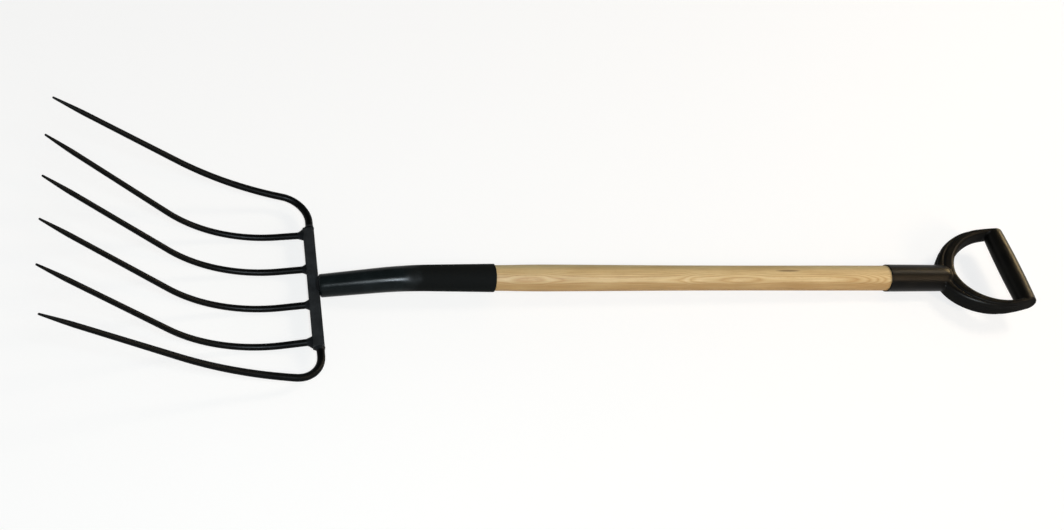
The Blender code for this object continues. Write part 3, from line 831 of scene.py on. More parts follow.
@dataclass(frozen=True)
class Socket:
    """Tapered steel tube that holds the shaft, then bends down to the bar."""

    length: float = 201.8 * MM
    straight: float = 75 * MM
    bend_r: float = 395 * MM
    bend: float = math.radians(9)
    rim_r: float = 16.6 * MM
    nose_r: float = 13.37 * MM
    wall: float = 1.2 * MM
    nose_round: float = 2.5 * MM
    rim_round: float = 0.45 * MM
    # Draws the rolled rim's section in from the half ellipse that 0 would give
    rim_power: float = 0.6
    round_steps: int = 8
    sides: int = 96
    step: float = 2 * MM

    def centre(self, along: float) -> tuple[Vector, float]:
        """Place on the centreline.

        Args:
            along: Distance from the rear rim forwards.

        Returns:
            The point, and the pitch there.
        """
        bend_length = self.bend_r * self.bend
        angle = min(max(along - self.straight, 0), bend_length) / self.bend_r
        ahead = max(along - self.straight - bend_length, 0)
        x = -min(along, self.straight) - self.bend_r * math.sin(angle) - ahead * math.cos(angle)
        z = -self.bend_r * (1 - math.cos(angle)) - ahead * math.sin(angle)
        return Vector((x, 0, z)), angle

    def radius(self, along: float) -> float:
        """Outer radius of the taper."""
        return self.rim_r + (self.nose_r - self.rim_r) * along / self.length

    def head_frame(self, seat_depth: float) -> Matrix:
        """The head's frame in the fork's: at the bar's back edge, pitched as the nose is."""
        point, pitch = self.centre(self.length - seat_depth)
        return Matrix.Translation(point) @ Matrix.Rotation(-pitch, 4, "Y")

    def profile(self) -> Pairs:
        """Outline of the wall: up the bore, over the rolled rim and down to the closed nose.

        Returns:
            (Distance from the rim, radius) pairs.
        """
        count = round(self.length / self.step)
        stations = [self.length * k / count for k in range(1, count)]
        clear = (2 * self.rim_round, self.length - 1.5 * self.nose_round)
        stations = [s for s in stations if clear[0] < s < clear[1]]
        floor = self.length - self.wall
        profile = [(floor, self.radius(floor) - self.wall - self.nose_round / 2)]
        profile += [(floor - self.nose_round / 2, self.radius(floor) - self.wall)]
        profile += [(s, self.radius(s) - self.wall) for s in reversed(stations)]
        middle = self.rim_r - self.wall / 2
        for k in range(self.round_steps + 1):
            a = math.pi * k / self.round_steps
            out = -math.cos(a)
            away = self.wall / 2 * abs(out) ** self.rim_power
            profile.append((self.rim_round * (1 - math.sin(a)), middle + out * away))
        profile += [(s, self.radius(s)) for s in stations]
        for k in range(self.round_steps + 1):
            a = QUARTER * k / self.round_steps
            at = self.length - self.nose_round * (1 - math.sin(a))
            profile.append((at, self.nose_r - self.nose_round * (1 - math.cos(a))))
        return profile

    def build(self, fork: ForkFrame, enamel: Material) -> Object:
        """Build the tube with its rolled rim, its bore and its closed nose.

        Args:
            fork: The fork's frame.
            enamel: The socket's finish.

        Returns:
            The finished piece.
        """
        rings = []
        for along, radius in self.profile():
            centre, pitch = self.centre(along)
            up = Vector((-math.sin(pitch), 0, math.cos(pitch)))
            rings.append(ring_about(centre, Y_AXIS, up, radius, self.sides))
        piece = make_piece("socket_tube", loft(rings), fork.place, enamel)
        back = fork.back
        store(piece.data, "reach", lambda co: -(back @ co).x)
        return piece


@dataclass(frozen=True)
class CrossBar:
    """Flat steel bar that the inner tines butt against."""

    width: float = 13 * MM
    thickness: float = 8 * MM
    length: float = 168 * MM
    edge: float = 1 * MM
    # How the ends are softened: (distance from the end, inset) in shares of the edge's radius
    end_softening: tuple[tuple[float, float], ...] = ((0, 0.55), (0.3, 0.15))
    seat_depth: float = 0.3 * MM
    seat_half: float = 15.4 * MM
    seat_ramp: float = 0.3 * MM
    seat_clear: float = 1 * MM
    # Rows this close to each rounding keep the flats flat in the shading
    hold: float = 0.25 * MM
    corner_steps: int = 5
    step: float = 4 * MM

    @property
    def front(self) -> float:
        """X of the front edge in the head's frame."""
        return -GAP - self.width

    def section(self, y: float, inset: float, back: float = -GAP) -> Ring:
        """Rounded section at a place along the bar.

        Args:
            y: The place.
            inset: How far the section lies inside the bar's full outline.
            back: X of the back edge.

        Returns:
            Its points.
        """
        ring = []
        for side, rise, turn in ((1, 1, 0), (-1, 1, 90), (-1, -1, 180), (1, -1, 270)):
            x = (back - inset if side > 0 else self.front + inset) - side * self.edge
            centre = Vector((x, rise * (self.thickness / 2 - inset - self.edge)))
            bends = [math.radians(turn + 90 * k / self.corner_steps) for k in range(self.corner_steps + 1)]
            arc = [centre + self.edge * Vector((math.cos(a), math.sin(a))) for a in bends]
            first, last = (self.hold * Vector((-math.sin(a), math.cos(a))) for a in (bends[0], bends[-1]))
            ring += [Vector((p.x, y, p.y)) for p in (arc[0] - first, *arc, arc[-1] + last)]
        return ring

    def build(self, place: Matrix, enamel: Material) -> Object:
        """Build the bar with its softened edges and the ground seat of the socket's nose.

        Args:
            place: The head's frame in the world.
            enamel: The bar's finish.

        Returns:
            The finished piece.
        """
        half = self.length / 2
        run = self.length - 2 * self.edge
        count = round(run / self.step)
        ys = [-half + self.edge + run * k / count for k in range(count + 1)]
        for edge in (-self.seat_half, self.seat_half):
            ys = [y for y in ys if abs(y - edge) > self.seat_clear]
            ys += [edge - self.seat_ramp / 2, edge + self.seat_ramp / 2]
        soft = [(half - at * self.edge, inset * self.edge) for at, inset in self.end_softening]
        rings = [self.section(-y, inset) for y, inset in soft]
        for y in sorted(ys):
            depth = self.seat_depth if abs(y) < self.seat_half else 0
            rings.append(self.section(y, 0, -GAP - depth))
        rings += [self.section(y, inset) for y, inset in reversed(soft)]
        return make_piece("forged_bar", loft(rings), place, enamel, 50)


@dataclass(frozen=True)
class Tines:
    """Four straight-rooted inner tines and two outer rods bent round the bar's corners."""

    bar: CrossBar = CrossBar()
    inner_count: int = 4
    pitch: float = 50 * MM
    spread: float = 55.75 / 50
    inner_root: float = 31 * MM
    inner_bend_r: float = 143 * MM
    inner_bend: float = math.radians(52.5)
    inner_length: float = 330 * MM
    inner_root_d: float = 8 * MM
    outer_inset: float = 0.5 * MM
    corner_run: float = 10.2 * MM
    corner_r: float = 32 * MM
    outer_lift: float = math.radians(22)
    outer_bend_r: float = 360 * MM
    outer_bend: float = math.radians(21)
    outer_reach: float = 285 * MM
    outer_root_d: float = 9 * MM
    shank_d: float = 5.6 * MM
    point_length: float = 38 * MM
    point_power: float = 1.3
    tip_d: float = 2.2 * MM
    sides: int = 28
    step: float = 2 * MM
    tip_step: float = 0.2 * MM
    tip_steps: int = 8

    @property
    def outer_start(self) -> float:
        """Y of the outer rods' ends, beside the bar's ends."""
        return self.bar.length / 2

    @property
    def outer_back(self) -> float:
        """X of the outer rods' ends."""
        return -GAP - self.outer_inset - self.outer_root_d / 2

    @property
    def outer_nodes(self) -> tuple[tuple[int, Side], ...]:
        """Numbers and sides of the outer rods."""
        return (1, Side.PLUS), (self.inner_count + 2, Side.MINUS)

    def offsets(self) -> list[float]:
        """Places of the inner tines across the fork, from +Y to -Y."""
        return [((self.inner_count - 1) / 2 - k) * self.pitch for k in range(self.inner_count)]

    def splay(self, offset: float, length: float) -> float:
        """Sideways heading that spreads a tine towards its tip."""
        return math.asin(offset * (self.spread - 1) / length)

    def walk(
        self, start: Vector, swing: float, lift: float, legs: Sequence[tuple[float, float, float]]
    ) -> Ring:
        """Centreline of a bent rod in the head's frame.

        Args:
            start: First point.
            swing: Heading from +Y (0) round to straight out (a quarter turn).
            lift: Heading above the bar's plane.
            legs: (length, change of swing, change of lift) of each stretch.

        Returns:
            Points a step apart, with close ones at the point's round end.
        """
        points = [start.copy()]
        for number, (length, turn, rise) in enumerate(legs):
            steps = max(round(length / self.step), 1)
            lengths = [length / steps] * steps
            if number == len(legs) - 1:
                rest = length / steps - self.tip_steps * self.tip_step
                lengths[-1:] = [rest] + [self.tip_step] * self.tip_steps
            done = 0.0
            for part in lengths:
                middle = (done + part / 2) / length
                t, e = swing + turn * middle, lift + rise * middle
                heading = Vector((-math.sin(t) * math.cos(e), math.cos(t), math.sin(t) * math.sin(e)))
                points.append(points[-1] + heading * part)
                done += part
            swing += turn
            lift += rise
        return points

    def inner_path(self, offset: float) -> Ring:
        """Centreline of an inner tine.

        Args:
            offset: Its place across the fork.

        Returns:
            Its points in the head's frame.
        """
        bend = self.inner_bend_r * self.inner_bend
        legs = [
            (self.inner_root + GAP, 0, 0), (bend, 0, self.inner_bend),
            (self.inner_length - self.inner_root - bend, 0, 0),
        ]
        swing = QUARTER - self.splay(offset, self.inner_length)
        return self.walk(Vector((self.bar.front, offset, 0)), swing, 0, legs)

    def outer_path(self, side: Side) -> Ring:
        """Centreline of an outer rod.

        Args:
            side: Its side of the fork.

        Returns:
            Its points in the head's frame.
        """
        half_width = self.outer_start + GAP + self.corner_run + self.corner_r
        turn = QUARTER - self.splay(half_width, self.corner_r + self.outer_reach)
        bend = self.outer_bend_r * self.outer_bend
        legs = [
            (self.corner_run + GAP, 0, 0), (self.corner_r * turn, turn, 0),
            (bend, 0, self.outer_bend), (self.outer_reach - bend, 0, 0),
        ]
        points = self.walk(Vector((self.outer_back, self.outer_start, 0)), 0, self.outer_lift, legs)
        return [Vector((p.x, side.value * p.y, p.z)) for p in points]

    def tree(self) -> Tree:
        """Tree that draws a rod down along its path: a slow taper, then a rounded point.

        Returns:
            The tree.
        """
        lengths = ("Root diameter", "Shank diameter", "Point length", "Tip diameter", "Point power")
        tree, add, size = new_tree("drawn tine", lengths, ("Sides",))
        whole = add(Kind.SPLINE_LENGTH).outputs["Length"]
        along = add(Kind.SPLINE_PLACE).outputs["Length"]
        left = add(Kind.SUBTRACT, whole, along)
        shank = add(Kind.SUBTRACT, whole, size["Point length"])
        share = add(Kind.DIVIDE, along, shank, use_clamp=True)
        drawn = add(Kind.MIX, share, size["Root diameter"], size["Shank diameter"])
        near = add(Kind.DIVIDE, left, size["Point length"])
        into = add(Kind.SUBTRACT, 1.0, near, use_clamp=True)
        curved = add(Kind.POWER, into, size["Point power"])
        cut = add(Kind.SUBTRACT, size["Shank diameter"], size["Tip diameter"])
        wide = add(Kind.SUBTRACT, drawn, add(Kind.MULTIPLY, curved, cut))
        # The last half tip diameter is a ball's end: sqrt(1 - (1 - h)^2), a hair above 0 at the tip
        tip = add(Kind.DIVIDE, size["Tip diameter"], 2.0)
        height = add(Kind.DIVIDE, left, tip, use_clamp=True)
        rest = add(Kind.SUBTRACT, 1.0, height)
        ball = add(Kind.ROOT, add(Kind.SUBTRACT, 1.0003, add(Kind.MULTIPLY, rest, rest)))
        radius = add(Kind.DIVIDE, add(Kind.MULTIPLY, wide, ball), 2.0)
        circle = add(Kind.CIRCLE, Resolution=size["Sides"])
        skin = add(Kind.SKIN, Curve=size["Geometry"], Profile_Curve=circle, Scale=radius)
        end_tree(add, skin, size["Enamel"])
        return tree

    def build(self, place: Matrix, enamel: Material) -> dict[str, Object]:
        """Draw all six tines.

        Args:
            place: The head's frame in the world.
            enamel: Their finish.

        Returns:
            The finished pieces by CAD node.
        """
        tree = self.tree()
        pieces = {}

        def draw(number: int, name: str, path: Ring, root_d: float) -> None:
            """Draw one tine down along its centreline.

            Args:
                number: Its number across the fork.
                name: The piece's name.
                path: Its centreline in the head's frame.
                root_d: Its diameter at the root.
            """
            curve = bpy.data.curves.new(name + "_path", "CURVE")
            curve.dimensions = "3D"
            spline = curve.splines.new("POLY")
            spline.points.add(len(path) - 1)
            for point, at in zip(spline.points, path):
                point.co = (*(place @ at), 1.0)
            inputs = {
                "Root diameter": root_d, "Shank diameter": self.shank_d,
                "Point length": self.point_length, "Tip diameter": self.tip_d,
                "Point power": self.point_power, "Sides": self.sides, "Enamel": enamel,
            }
            piece = run_nodes(make_object(curve, name + "_path"), tree, inputs, name)
            piece.data.set_sharp_from_angle(angle=math.radians(50))
            pieces[f"tine_{number}"] = piece

        for number, side in self.outer_nodes:
            draw(number, f"corner_rod_{number}", self.outer_path(side), self.outer_root_d)
        for number, offset in enumerate(self.offsets(), 2):
            draw(number, f"forged_tine_{number}", self.inner_path(offset), self.inner_root_d)
        return pieces


@dataclass(frozen=True)
class Welds:
    """Fillets round the inner tines, beads at the bar's ends and fillets at the socket's nose."""

    tines: Tines = Tines()
    cap: float = 0.6 * MM
    toe: float = 0.2 * MM
    fillet_length: float = 4.5 * MM
    fillet_side: float = 2.4 * MM
    gusset_length: float = 6 * MM
    gusset_side: float = 8.7 * MM
    bead_length: float = 3.5 * MM
    fall: float = 1.6
    nose_leg: float = 4 * MM
    nose_length: float = 19 * MM
    nose_bulge: float = 0.62
    nose_toe: float = 0.12
    nose_end: float = 0.4
    nose_steps: int = 40
    nose_face_steps: int = 10
    # Metal this close to what it is welded to isn't rippled
    held: float = 0.3 * MM
    ripple_pitch: float = 1.6 * MM
    ripple_height: float = 0.16 * MM
    sides: int = 72
    steps: int = 14

    def tree(self) -> Tree:
        """Tree that lays the ripples of the bead on a smooth weld.

        Returns:
            The tree.
        """
        tree, add, size = new_tree("weld ripples", ("Ripple pitch", "Ripple height", "Seed"))
        bead, free = (add(Kind.STORED_FLOAT, Name=name) for name in ("bead", "free"))
        # The noise has features of about 3 mm and moves a ripple by up to 0.6 of its pitch
        uneven = add(
            Kind.NOISE, noise_dimensions="4D", Vector=add(Kind.POSITION), W=size["Seed"], Scale=350.0,
            Detail=1.0,
        )
        turns = add(Kind.MULTIPLY_ADD, uneven, 1.2, add(Kind.DIVIDE, bead, size["Ripple pitch"]))
        wave = add(Kind.SINE, add(Kind.MULTIPLY, turns, 2 * math.pi))
        below = add(Kind.MULTIPLY_ADD, wave, 0.5, -0.5)
        shown = add(Kind.MULTIPLY, add(Kind.MULTIPLY, below, size["Ripple height"]), free)
        push = add(Kind.SCALE, add(Kind.NORMAL), shown)
        end_tree(add, add(Kind.MOVE, Geometry=size["Geometry"], Offset=push), size["Enamel"])
        return tree

    def collar(
        self, base: Vector, axis: Vector, across: Vector, bore: float,
        reach: tuple[float, float, float], length: float,
    ) -> tuple[Form, BeadRule]:
        """Weld metal round a rod: its foot spreads over the bar and it thins out along the rod.

        Args:
            base: Where the rod meets the bar, in the head's frame.
            axis: The rod's direction.
            across: Direction of the foot's low and high sides.
            bore: The rod's radius.
            reach: How far the foot goes on the low side, the high side and at right angles.
            length: How far it goes along the rod.

        Returns:
            The form, and a rule that gives each of its points' place along the bead and how
            free it is to be rippled.
        """
        low, high, front = reach
        up = axis.cross(across)
        outer, inner = [], []
        for step in range(self.steps + 1):
            along = step / self.steps
            foot = (1 - along) ** self.fall
            lip = bore + self.toe * (1 - along) ** 0.5 + (self.cap - self.toe) * (1 - along)
            centre = base + axis * (length * along)
            ring = []
            for j in range(self.sides):
                a = 2 * math.pi * j / self.sides
                wide = lip + ((high if math.cos(a) > 0 else low) - lip) * foot
                tall = lip + (front - lip) * foot
                ring.append(centre + wide * math.cos(a) * across + tall * math.sin(a) * up)
            outer.append(ring)
            inner.append(ring_about(centre, across, up, bore, self.sides))

        def rule(point: Vector) -> tuple[float, float]:
            """Place along the bead, and how free a point is: least at the foot and the toe.

            Args:
                point: Place in the head's frame.

            Returns:
                (place along the bead, freedom from 0 to 1).
            """
            off = point - base
            along = min(max(off.dot(axis) / length, 0), 1)
            y, z = off.dot(across), off.dot(up)
            free = math.sin(math.pi * min(along * 0.8 + 0.2, 1))
            on_face = math.hypot(y, z) > bore + 0.05 * MM
            return math.atan2(z, y) * (bore + self.cap), max(free, 0) if on_face else 0

        return loft(outer + inner[::-1], closed=True), rule

    def nose_fillet(self, side: Side) -> tuple[Form, BeadRule]:
        """Fillet between the bar's upper or lower face and the socket's nose.

        Args:
            side: PLUS for the upper face and MINUS for the lower.

        Returns:
            The form, and its rule as for a collar.
        """
        bar = self.tines.bar
        rings = []
        for step in range(self.nose_steps + 1):
            share = 2 * step / self.nose_steps - 1
            leg = self.nose_leg * math.sqrt(1 - (1 - self.nose_end ** 2) * share ** 2)
            toe = self.nose_toe * leg
            rise = side.value * bar.thickness / 2
            corner = Vector((-bar.seat_depth, share * self.nose_length / 2, rise))
            section = [(0, 0), (leg, 0), (leg, toe)]
            for k in range(1, self.nose_face_steps):
                t = k / self.nose_face_steps
                flat = Vector((leg, toe)).lerp(Vector((toe, leg)), t)
                swell = 4 * t * (1 - t) * (self.nose_bulge * leg - (leg + toe) / 2)
                section.append((flat.x + swell, flat.y + swell))
            section += [(toe, leg), (0, leg)]
            rings.append([corner + Vector((-run, 0, side.value * up)) for run, up in section])

        def rule(point: Vector) -> tuple[float, float]:
            """Place along the bead, and whether a point is on its free face.

            Args:
                point: Place in the head's frame.

            Returns:
                (place along the bead, 1 on the free face and 0 elsewhere).
            """
            run = -bar.seat_depth - point.x
            up = side.value * point.z - bar.thickness / 2
            return point.y, 1.0 if min(run, up) > self.held else 0.0

        return loft(rings), rule

    def build(self, place: Matrix, enamel: Material) -> dict[str, Object]:
        """Lay all eight welds.

        Args:
            place: The head's frame in the world.
            enamel: Their finish.

        Returns:
            The finished pieces by CAD node.
        """
        tines, bar = self.tines, self.tines.bar
        tree = self.tree()
        back = place.inverted()
        pieces = {}

        def lay(node: str, name: str, weld: tuple[Form, BeadRule], seed: float) -> None:
            """Ripple a smooth weld.

            Args:
                node: The CAD node's name.
                name: The piece's name.
                weld: The smooth weld and its rule.
                seed: Makes this bead unlike the others.
            """
            form, rule = weld
            smooth = make_piece(name + "_smooth", form, place, sharp=60)
            for number, kind in enumerate(("bead", "free")):
                store(smooth.data, kind, lambda co: rule(back @ co)[number])
            inputs = {
                "Ripple pitch": self.ripple_pitch, "Ripple height": self.ripple_height, "Seed": seed,
                "Enamel": enamel,
            }
            pieces[node] = run_nodes(smooth, tree, inputs, name)

        offsets = tines.offsets()
        for number, offset in enumerate(offsets, 2):
            outermost = abs(offset) == max(offsets)
            bore = tines.inner_root_d / 2
            low = high = bore + GAP + self.fillet_side
            if outermost:
                low, high = (low, self.gusset_side) if offset > 0 else (self.gusset_side, high)
            reach = (low, high, bar.thickness / 2 + GAP + self.cap)
            length = self.gusset_length if outermost else self.fillet_length
            weld = self.collar(Vector((bar.front, offset, 0)), -X_AXIS, Y_AXIS, bore, reach, length)
            lay(f"weld_{number}", f"tine_fillet_{number}", weld, number)
        for number, side in tines.outer_nodes:
            bore = tines.outer_root_d / 2
            base = Vector((tines.outer_back, side.value * tines.outer_start, 0))
            foot = bore + GAP + self.cap
            reach = (foot, tines.outer_back - bar.front, foot)
            weld = self.collar(base, side.value * Y_AXIS, -X_AXIS, bore, reach, self.bead_length)
            lay(f"weld_{number}", f"corner_bead_{number}", weld, number)
        for end, side in (("top", Side.PLUS), ("under", Side.MINUS)):
            lay(f"socket_weld_{end}", f"nose_fillet_{end}", self.nose_fillet(side), side.value * 0.5)
        return pieces


@dataclass(frozen=True)
class Shaft:
    """Round ash shaft that swells towards the socket and the grip."""

    exposed: float = 521 * MM
    waist_r: float = 15.4 * MM
    rim_r: float = 15.1 * MM
    front_swell: float = 0.5 * MM
    front_swell_at: float = 60 * MM
    grip_r: float = 16.0 * MM
    end_r: float = 14.6 * MM
    seat_r: float = 13.9 * MM
    front_seat: float = 75 * MM
    rear_seat: float = 70 * MM
    chamfer: float = 1.5 * MM
    sides: int = 96
    step: float = 5 * MM
    # Direction that the flat-sawn face looks in, across the shaft
    face: Vector = field(default_factory=lambda: Vector((0, -0.7172, 0.6969)))

    def profile(self) -> Pairs:
        """Outline of the shaft.

        Returns:
            (Distance from the socket's rim, radius) pairs.
        """
        front, rear = -self.front_seat, self.exposed + self.rear_seat
        pairs = [(front, self.seat_r - self.chamfer), (front + self.chamfer, self.seat_r)]
        places = [
            (0, self.rim_r), (self.front_swell_at, self.waist_r + self.front_swell),
            (self.exposed / 2, self.waist_r), (self.exposed, self.grip_r),
        ]
        for (a, near), (b, far) in zip(places, places[1:]):
            steps = round((b - a) / self.step)
            for step in range(steps):
                share = step / steps
                ease = share * share * (3 - 2 * share)
                pairs.append((a + (b - a) * share, near + (far - near) * ease))
        pairs += [(self.exposed, self.grip_r), (rear - self.chamfer, self.end_r)]
        return pairs + [(rear, self.end_r - self.chamfer)]

    def build(self, fork: ForkFrame, wood: Material) -> Object:
        """Turn the shaft and store its grain.

        Args:
            fork: The fork's frame.
            wood: The shaft's finish.

        Returns:
            The finished piece.
        """
        piece = make_piece("ash_shaft", turned(self.profile(), self.sides), fork.place, wood)
        back = fork.back
        across = self.face.cross(X_AXIS)

        def grain(co: Vector) -> Vector:
            """Place in the wood of a place in the world."""
            at = back @ co
            return Vector((at.x, at.dot(across), at.dot(self.face)))

        store(piece.data, "grain", grain, "FLOAT_VECTOR")
        return piece


@dataclass(frozen=True)
class DGrip:
    """One moulding: a sleeve over the shaft, a ridged bow and a hand bar."""

    shaft: Shaft = Shaft()
    sleeve_wall: float = 1.2 * MM
    sleeve_straight: float = 80 * MM
    sleeve_draw: float = 0.3 * MM
    sleeve_nose: float = 21 * MM
    rim_round: float = 0.8 * MM
    bow_setback: float = 9 * MM
    bow_tilt: float = math.radians(14)
    hole_front: float = 13.2 * MM
    hole_depth: float = 58.3 * MM
    hole_half_width: float = 54.5 * MM
    hole_power: float = 1.84
    bow_crown: float = 24.6 * MM
    bow_arm: float = 7.4 * MM
    bow_lead: float = 11 * MM
    bow_power: float = 1.89
    bow_draw_in: float = 2.5 * MM
    bow_overlap: float = 3.5 * MM
    bow_thickness: float = 24.6 * MM
    edge_round: float = 5 * MM
    edge_share: float = 0.42
    # Grooves, measured over the bow's surface from the hand hole
    inner_band: float = 13.7 * MM
    ridge_width: float = 11.5 * MM
    ridge_least: float = 4 * MM
    middle_land: float = 0.8 * MM
    groove_depth: float = 2.5 * MM
    groove_width: float = 3.0 * MM
    groove_reach: float = 0.62
    grooves_end: float = 0.67
    arm_run: float = 3.3 * MM
    bar_d: float = 27.6 * MM
    bar_end_d: float = 25.4 * MM
    bar_round: float = 3.2 * MM
    # Heights off the D's plane between which the bow turns from matt to worn smooth
    matt_below: float = 9.4 * MM
    worn_above: float = 11.2 * MM
    # Voxel size of the fused form, and how far behind the rim it takes over from the sleeve
    voxel: float = 0.66 * MM
    takeover: float = 60 * MM
    # The fused form is snapped to the sleeve's true radius where it is near it, up to this far
    # ahead of the sleeve's shoulder, and the snap fades out over the next stretch
    snap_near: float = 0.5 * MM
    snap_short: float = 8 * MM
    snap_fade: float = 5 * MM
    smoothing: int = 4
    steps: int = 120
    arm_steps: int = 24
    section_steps: int = 64
    round_steps: int = 8
    sides: int = 96

    @property
    def rim_r(self) -> float:
        """Outer radius of the sleeve's rim."""
        return self.shaft.grip_r + GAP + self.sleeve_wall

    @property
    def bar_at(self) -> float:
        """Distance of the hand bar's axis from the bow's root."""
        return self.hole_front + self.hole_depth + self.arm_run + self.bar_d / 2

    def sleeve_radius(self, x: float) -> float:
        """Outer radius of the sleeve.

        Args:
            x: Place along the shaft's axis.

        Returns:
            The radius there.
        """
        share = min(max((x - self.shaft.exposed) / self.sleeve_straight, 0), 1)
        radius = self.rim_r - self.sleeve_draw * share
        beyond = x - self.shaft.exposed - self.sleeve_straight
        if beyond > 0:
            radius *= math.sqrt(max(1 - (beyond / self.sleeve_nose) ** 2, 0))
        return radius

    def bow_frame(self) -> Matrix:
        """Frame of the D's plane: X away from the sleeve, Y across, Z square to the plane."""
        root = self.shaft.exposed + self.sleeve_straight + self.bow_setback
        return Matrix.Translation((root, 0, 0)) @ Matrix.Rotation(-self.bow_tilt, 4, "Y")

    def half_oval(
        self, share: float, front: float, depth: float, half_width: float, power: float
    ) -> Vector:
        """Point on one side of the bow: a superellipse up to its widest place, then straight.

        Args:
            share: 0 at the front, 1 at the widest place and 2 at the end.
            front: X of the front.
            depth: Distance from the front to the widest place.
            half_width: Y of the widest place.
            power: The superellipse's power.

        Returns:
            The point in the D's plane.
        """
        if share <= 1:
            a = share * math.pi / 2
            x = front + depth * (1 - math.cos(a) ** (2 / power))
            return Vector((x, half_width * math.sin(a) ** (2 / power)))
        widest, end = front + depth, self.bar_at + self.bow_overlap
        return Vector((widest + (end - widest) * (share - 1), half_width))

    def surface(self, thickness: float, way: float, sink: float) -> tuple[float, float]:
        """Point on the upper half of the bow's outline, or sunk below it.

        Args:
            thickness: Width of the bow there.
            way: Distance over the surface from the inner rounding, along the upper face, round
                the outer edge and down the outer side.
            sink: Depth below the surface.

        Returns:
            (distance out from the hand hole, height off the D's plane).
        """
        half, edge = self.bow_thickness / 2, self.edge_round
        run = min(edge, self.edge_share * thickness)
        flat = thickness - 2 * run
        bend = (run + edge) * math.pi / 4
        if way <= flat:
            return run + way, half - sink
        if way >= flat + bend:
            return thickness - sink, half - edge - (way - flat - bend)
        a = (way - flat) / bend * math.pi / 2
        return thickness - run + (run - sink) * math.sin(a), half - edge + (edge - sink) * math.cos(a)

    def crest(self, height: float) -> float:
        """How smooth hands have worn the bow at a height off the D's plane: 0 matt, 1 smooth."""
        share = (abs(height) - self.matt_below) / (self.worn_above - self.matt_below)
        return min(max(share, 0), 1)

    def section(self, thickness: float, fade: float) -> list[tuple[float, float, float]]:
        """Outline across the bow, with rounded edges and two soft grooves on each half.

        Args:
            thickness: Width of the bow there.
            fade: How deep the grooves are, from 0 to 1.

        Returns:
            (distance out from the hand hole, height off the D's plane, share of polish) triples.
        """
        half, edge = self.bow_thickness / 2, self.edge_round
        run = min(edge, self.edge_share * thickness)
        whole = thickness - 2 * run + (run + edge) * math.pi / 4 + half - edge
        first = self.inner_band - run
        second = min(first + self.ridge_width, whole - (self.middle_land + self.groove_width) / 2)
        first = min(first, second - self.ridge_least)
        upper = []
        for k in range(self.round_steps):
            a = math.pi / 2 * k / self.round_steps
            height = half - edge * (1 - math.sin(a))
            upper.append((run * (1 - math.cos(a)), height, self.crest(height)))
        for k in range(self.section_steps + 1):
            way = whole * k / self.section_steps
            sunk = 0.0
            for groove in (first, second):
                off = abs(way - groove) / (self.groove_width * self.groove_reach)
                sunk += max(1 - off ** 2, 0) ** 1.5
            # A quarter of its depth into a groove, the surface is out of the hand's reach
            worn = self.crest(self.surface(thickness, way, 0)[1]) * max(1 - 4 * sunk * fade, 0)
            upper.append((*self.surface(thickness, way, sunk * self.groove_depth * fade), worn))
        return upper + [(out, -up, worn) for out, up, worn in reversed(upper[:-1])]

    def bow_rings(self) -> list[list[tuple[Vector, float]]]:
        """Rings round the hand hole, from one end of the hand bar to the other.

        Returns:
            Each ring's (point, share of polish) pairs, in the fork's frame.
        """
        place = self.bow_frame()
        front = self.hole_front - self.bow_crown
        depth = self.hole_front + self.hole_depth - self.bow_lead - front
        shares = [k / self.steps for k in range(self.steps + 1)]
        shares += [1 + (k + 1) / self.arm_steps for k in range(self.arm_steps)]
        half = []
        for share in shares:
            inner = self.half_oval(
                share, self.hole_front, self.hole_depth, self.hole_half_width, self.hole_power
            )
            outer = self.half_oval(
                share, front, depth, self.hole_half_width + self.bow_arm, self.bow_power
            )
            late = max(share - 1, 0)
            outer.y -= self.bow_draw_in * late ** 2
            thickness = (outer - inner).length
            out = (outer - inner) / thickness
            section = self.section(thickness, max(1 - late / self.grooves_end, 0))
            half.append([(Vector((*(inner + out * away), up)), worn) for away, up, worn in section])
        mirrored = [[(Vector((p.x, -p.y, p.z)), worn) for p, worn in ring] for ring in half[1:]]
        return [[(place @ p, worn) for p, worn in ring] for ring in mirrored[::-1] + half]

    def hand_bar(self) -> Form:
        """Slightly barrelled hand bar with rounded ends.

        Returns:
            The form in the fork's frame.
        """
        end_r = self.bar_end_d / 2
        barrel = (self.bar_d - self.bar_end_d) / 2
        flat = self.hole_half_width + self.bow_arm - self.bow_draw_in - self.bar_round
        count = self.arm_steps
        half = [(flat * k / count, end_r + barrel * (1 - (k / count) ** 2)) for k in range(count + 1)]
        for k in range(1, self.round_steps + 1):
            a = math.pi / 2 * k / self.round_steps
            out = flat + self.bar_round * math.sin(a)
            half.append((out, end_r - self.bar_round * (1 - math.cos(a))))
        form = turned([(-at, radius) for at, radius in half[:0:-1]] + half, self.sides, Y_AXIS, X_AXIS)
        form.transform(self.bow_frame() @ Matrix.Translation((self.bar_at, 0, 0)))
        return form

    def sleeve_core(self) -> Form:
        """Rear of the sleeve with its rounded nose, which fuses with the bow.

        Returns:
            The form in the fork's frame.
        """
        shoulder = self.shaft.exposed + self.sleeve_straight
        front = self.shaft.exposed + self.takeover - 6 * MM
        xs = [front + (shoulder - front) * k / 20 for k in range(21)]
        profile = [(x, self.sleeve_radius(x)) for x in xs]
        radius = self.sleeve_radius(shoulder)
        for k in range(1, 24):
            a = math.radians(88) * k / 23
            profile.append((shoulder + self.sleeve_nose * math.sin(a), radius * math.cos(a)))
        return turned(profile, self.sides)

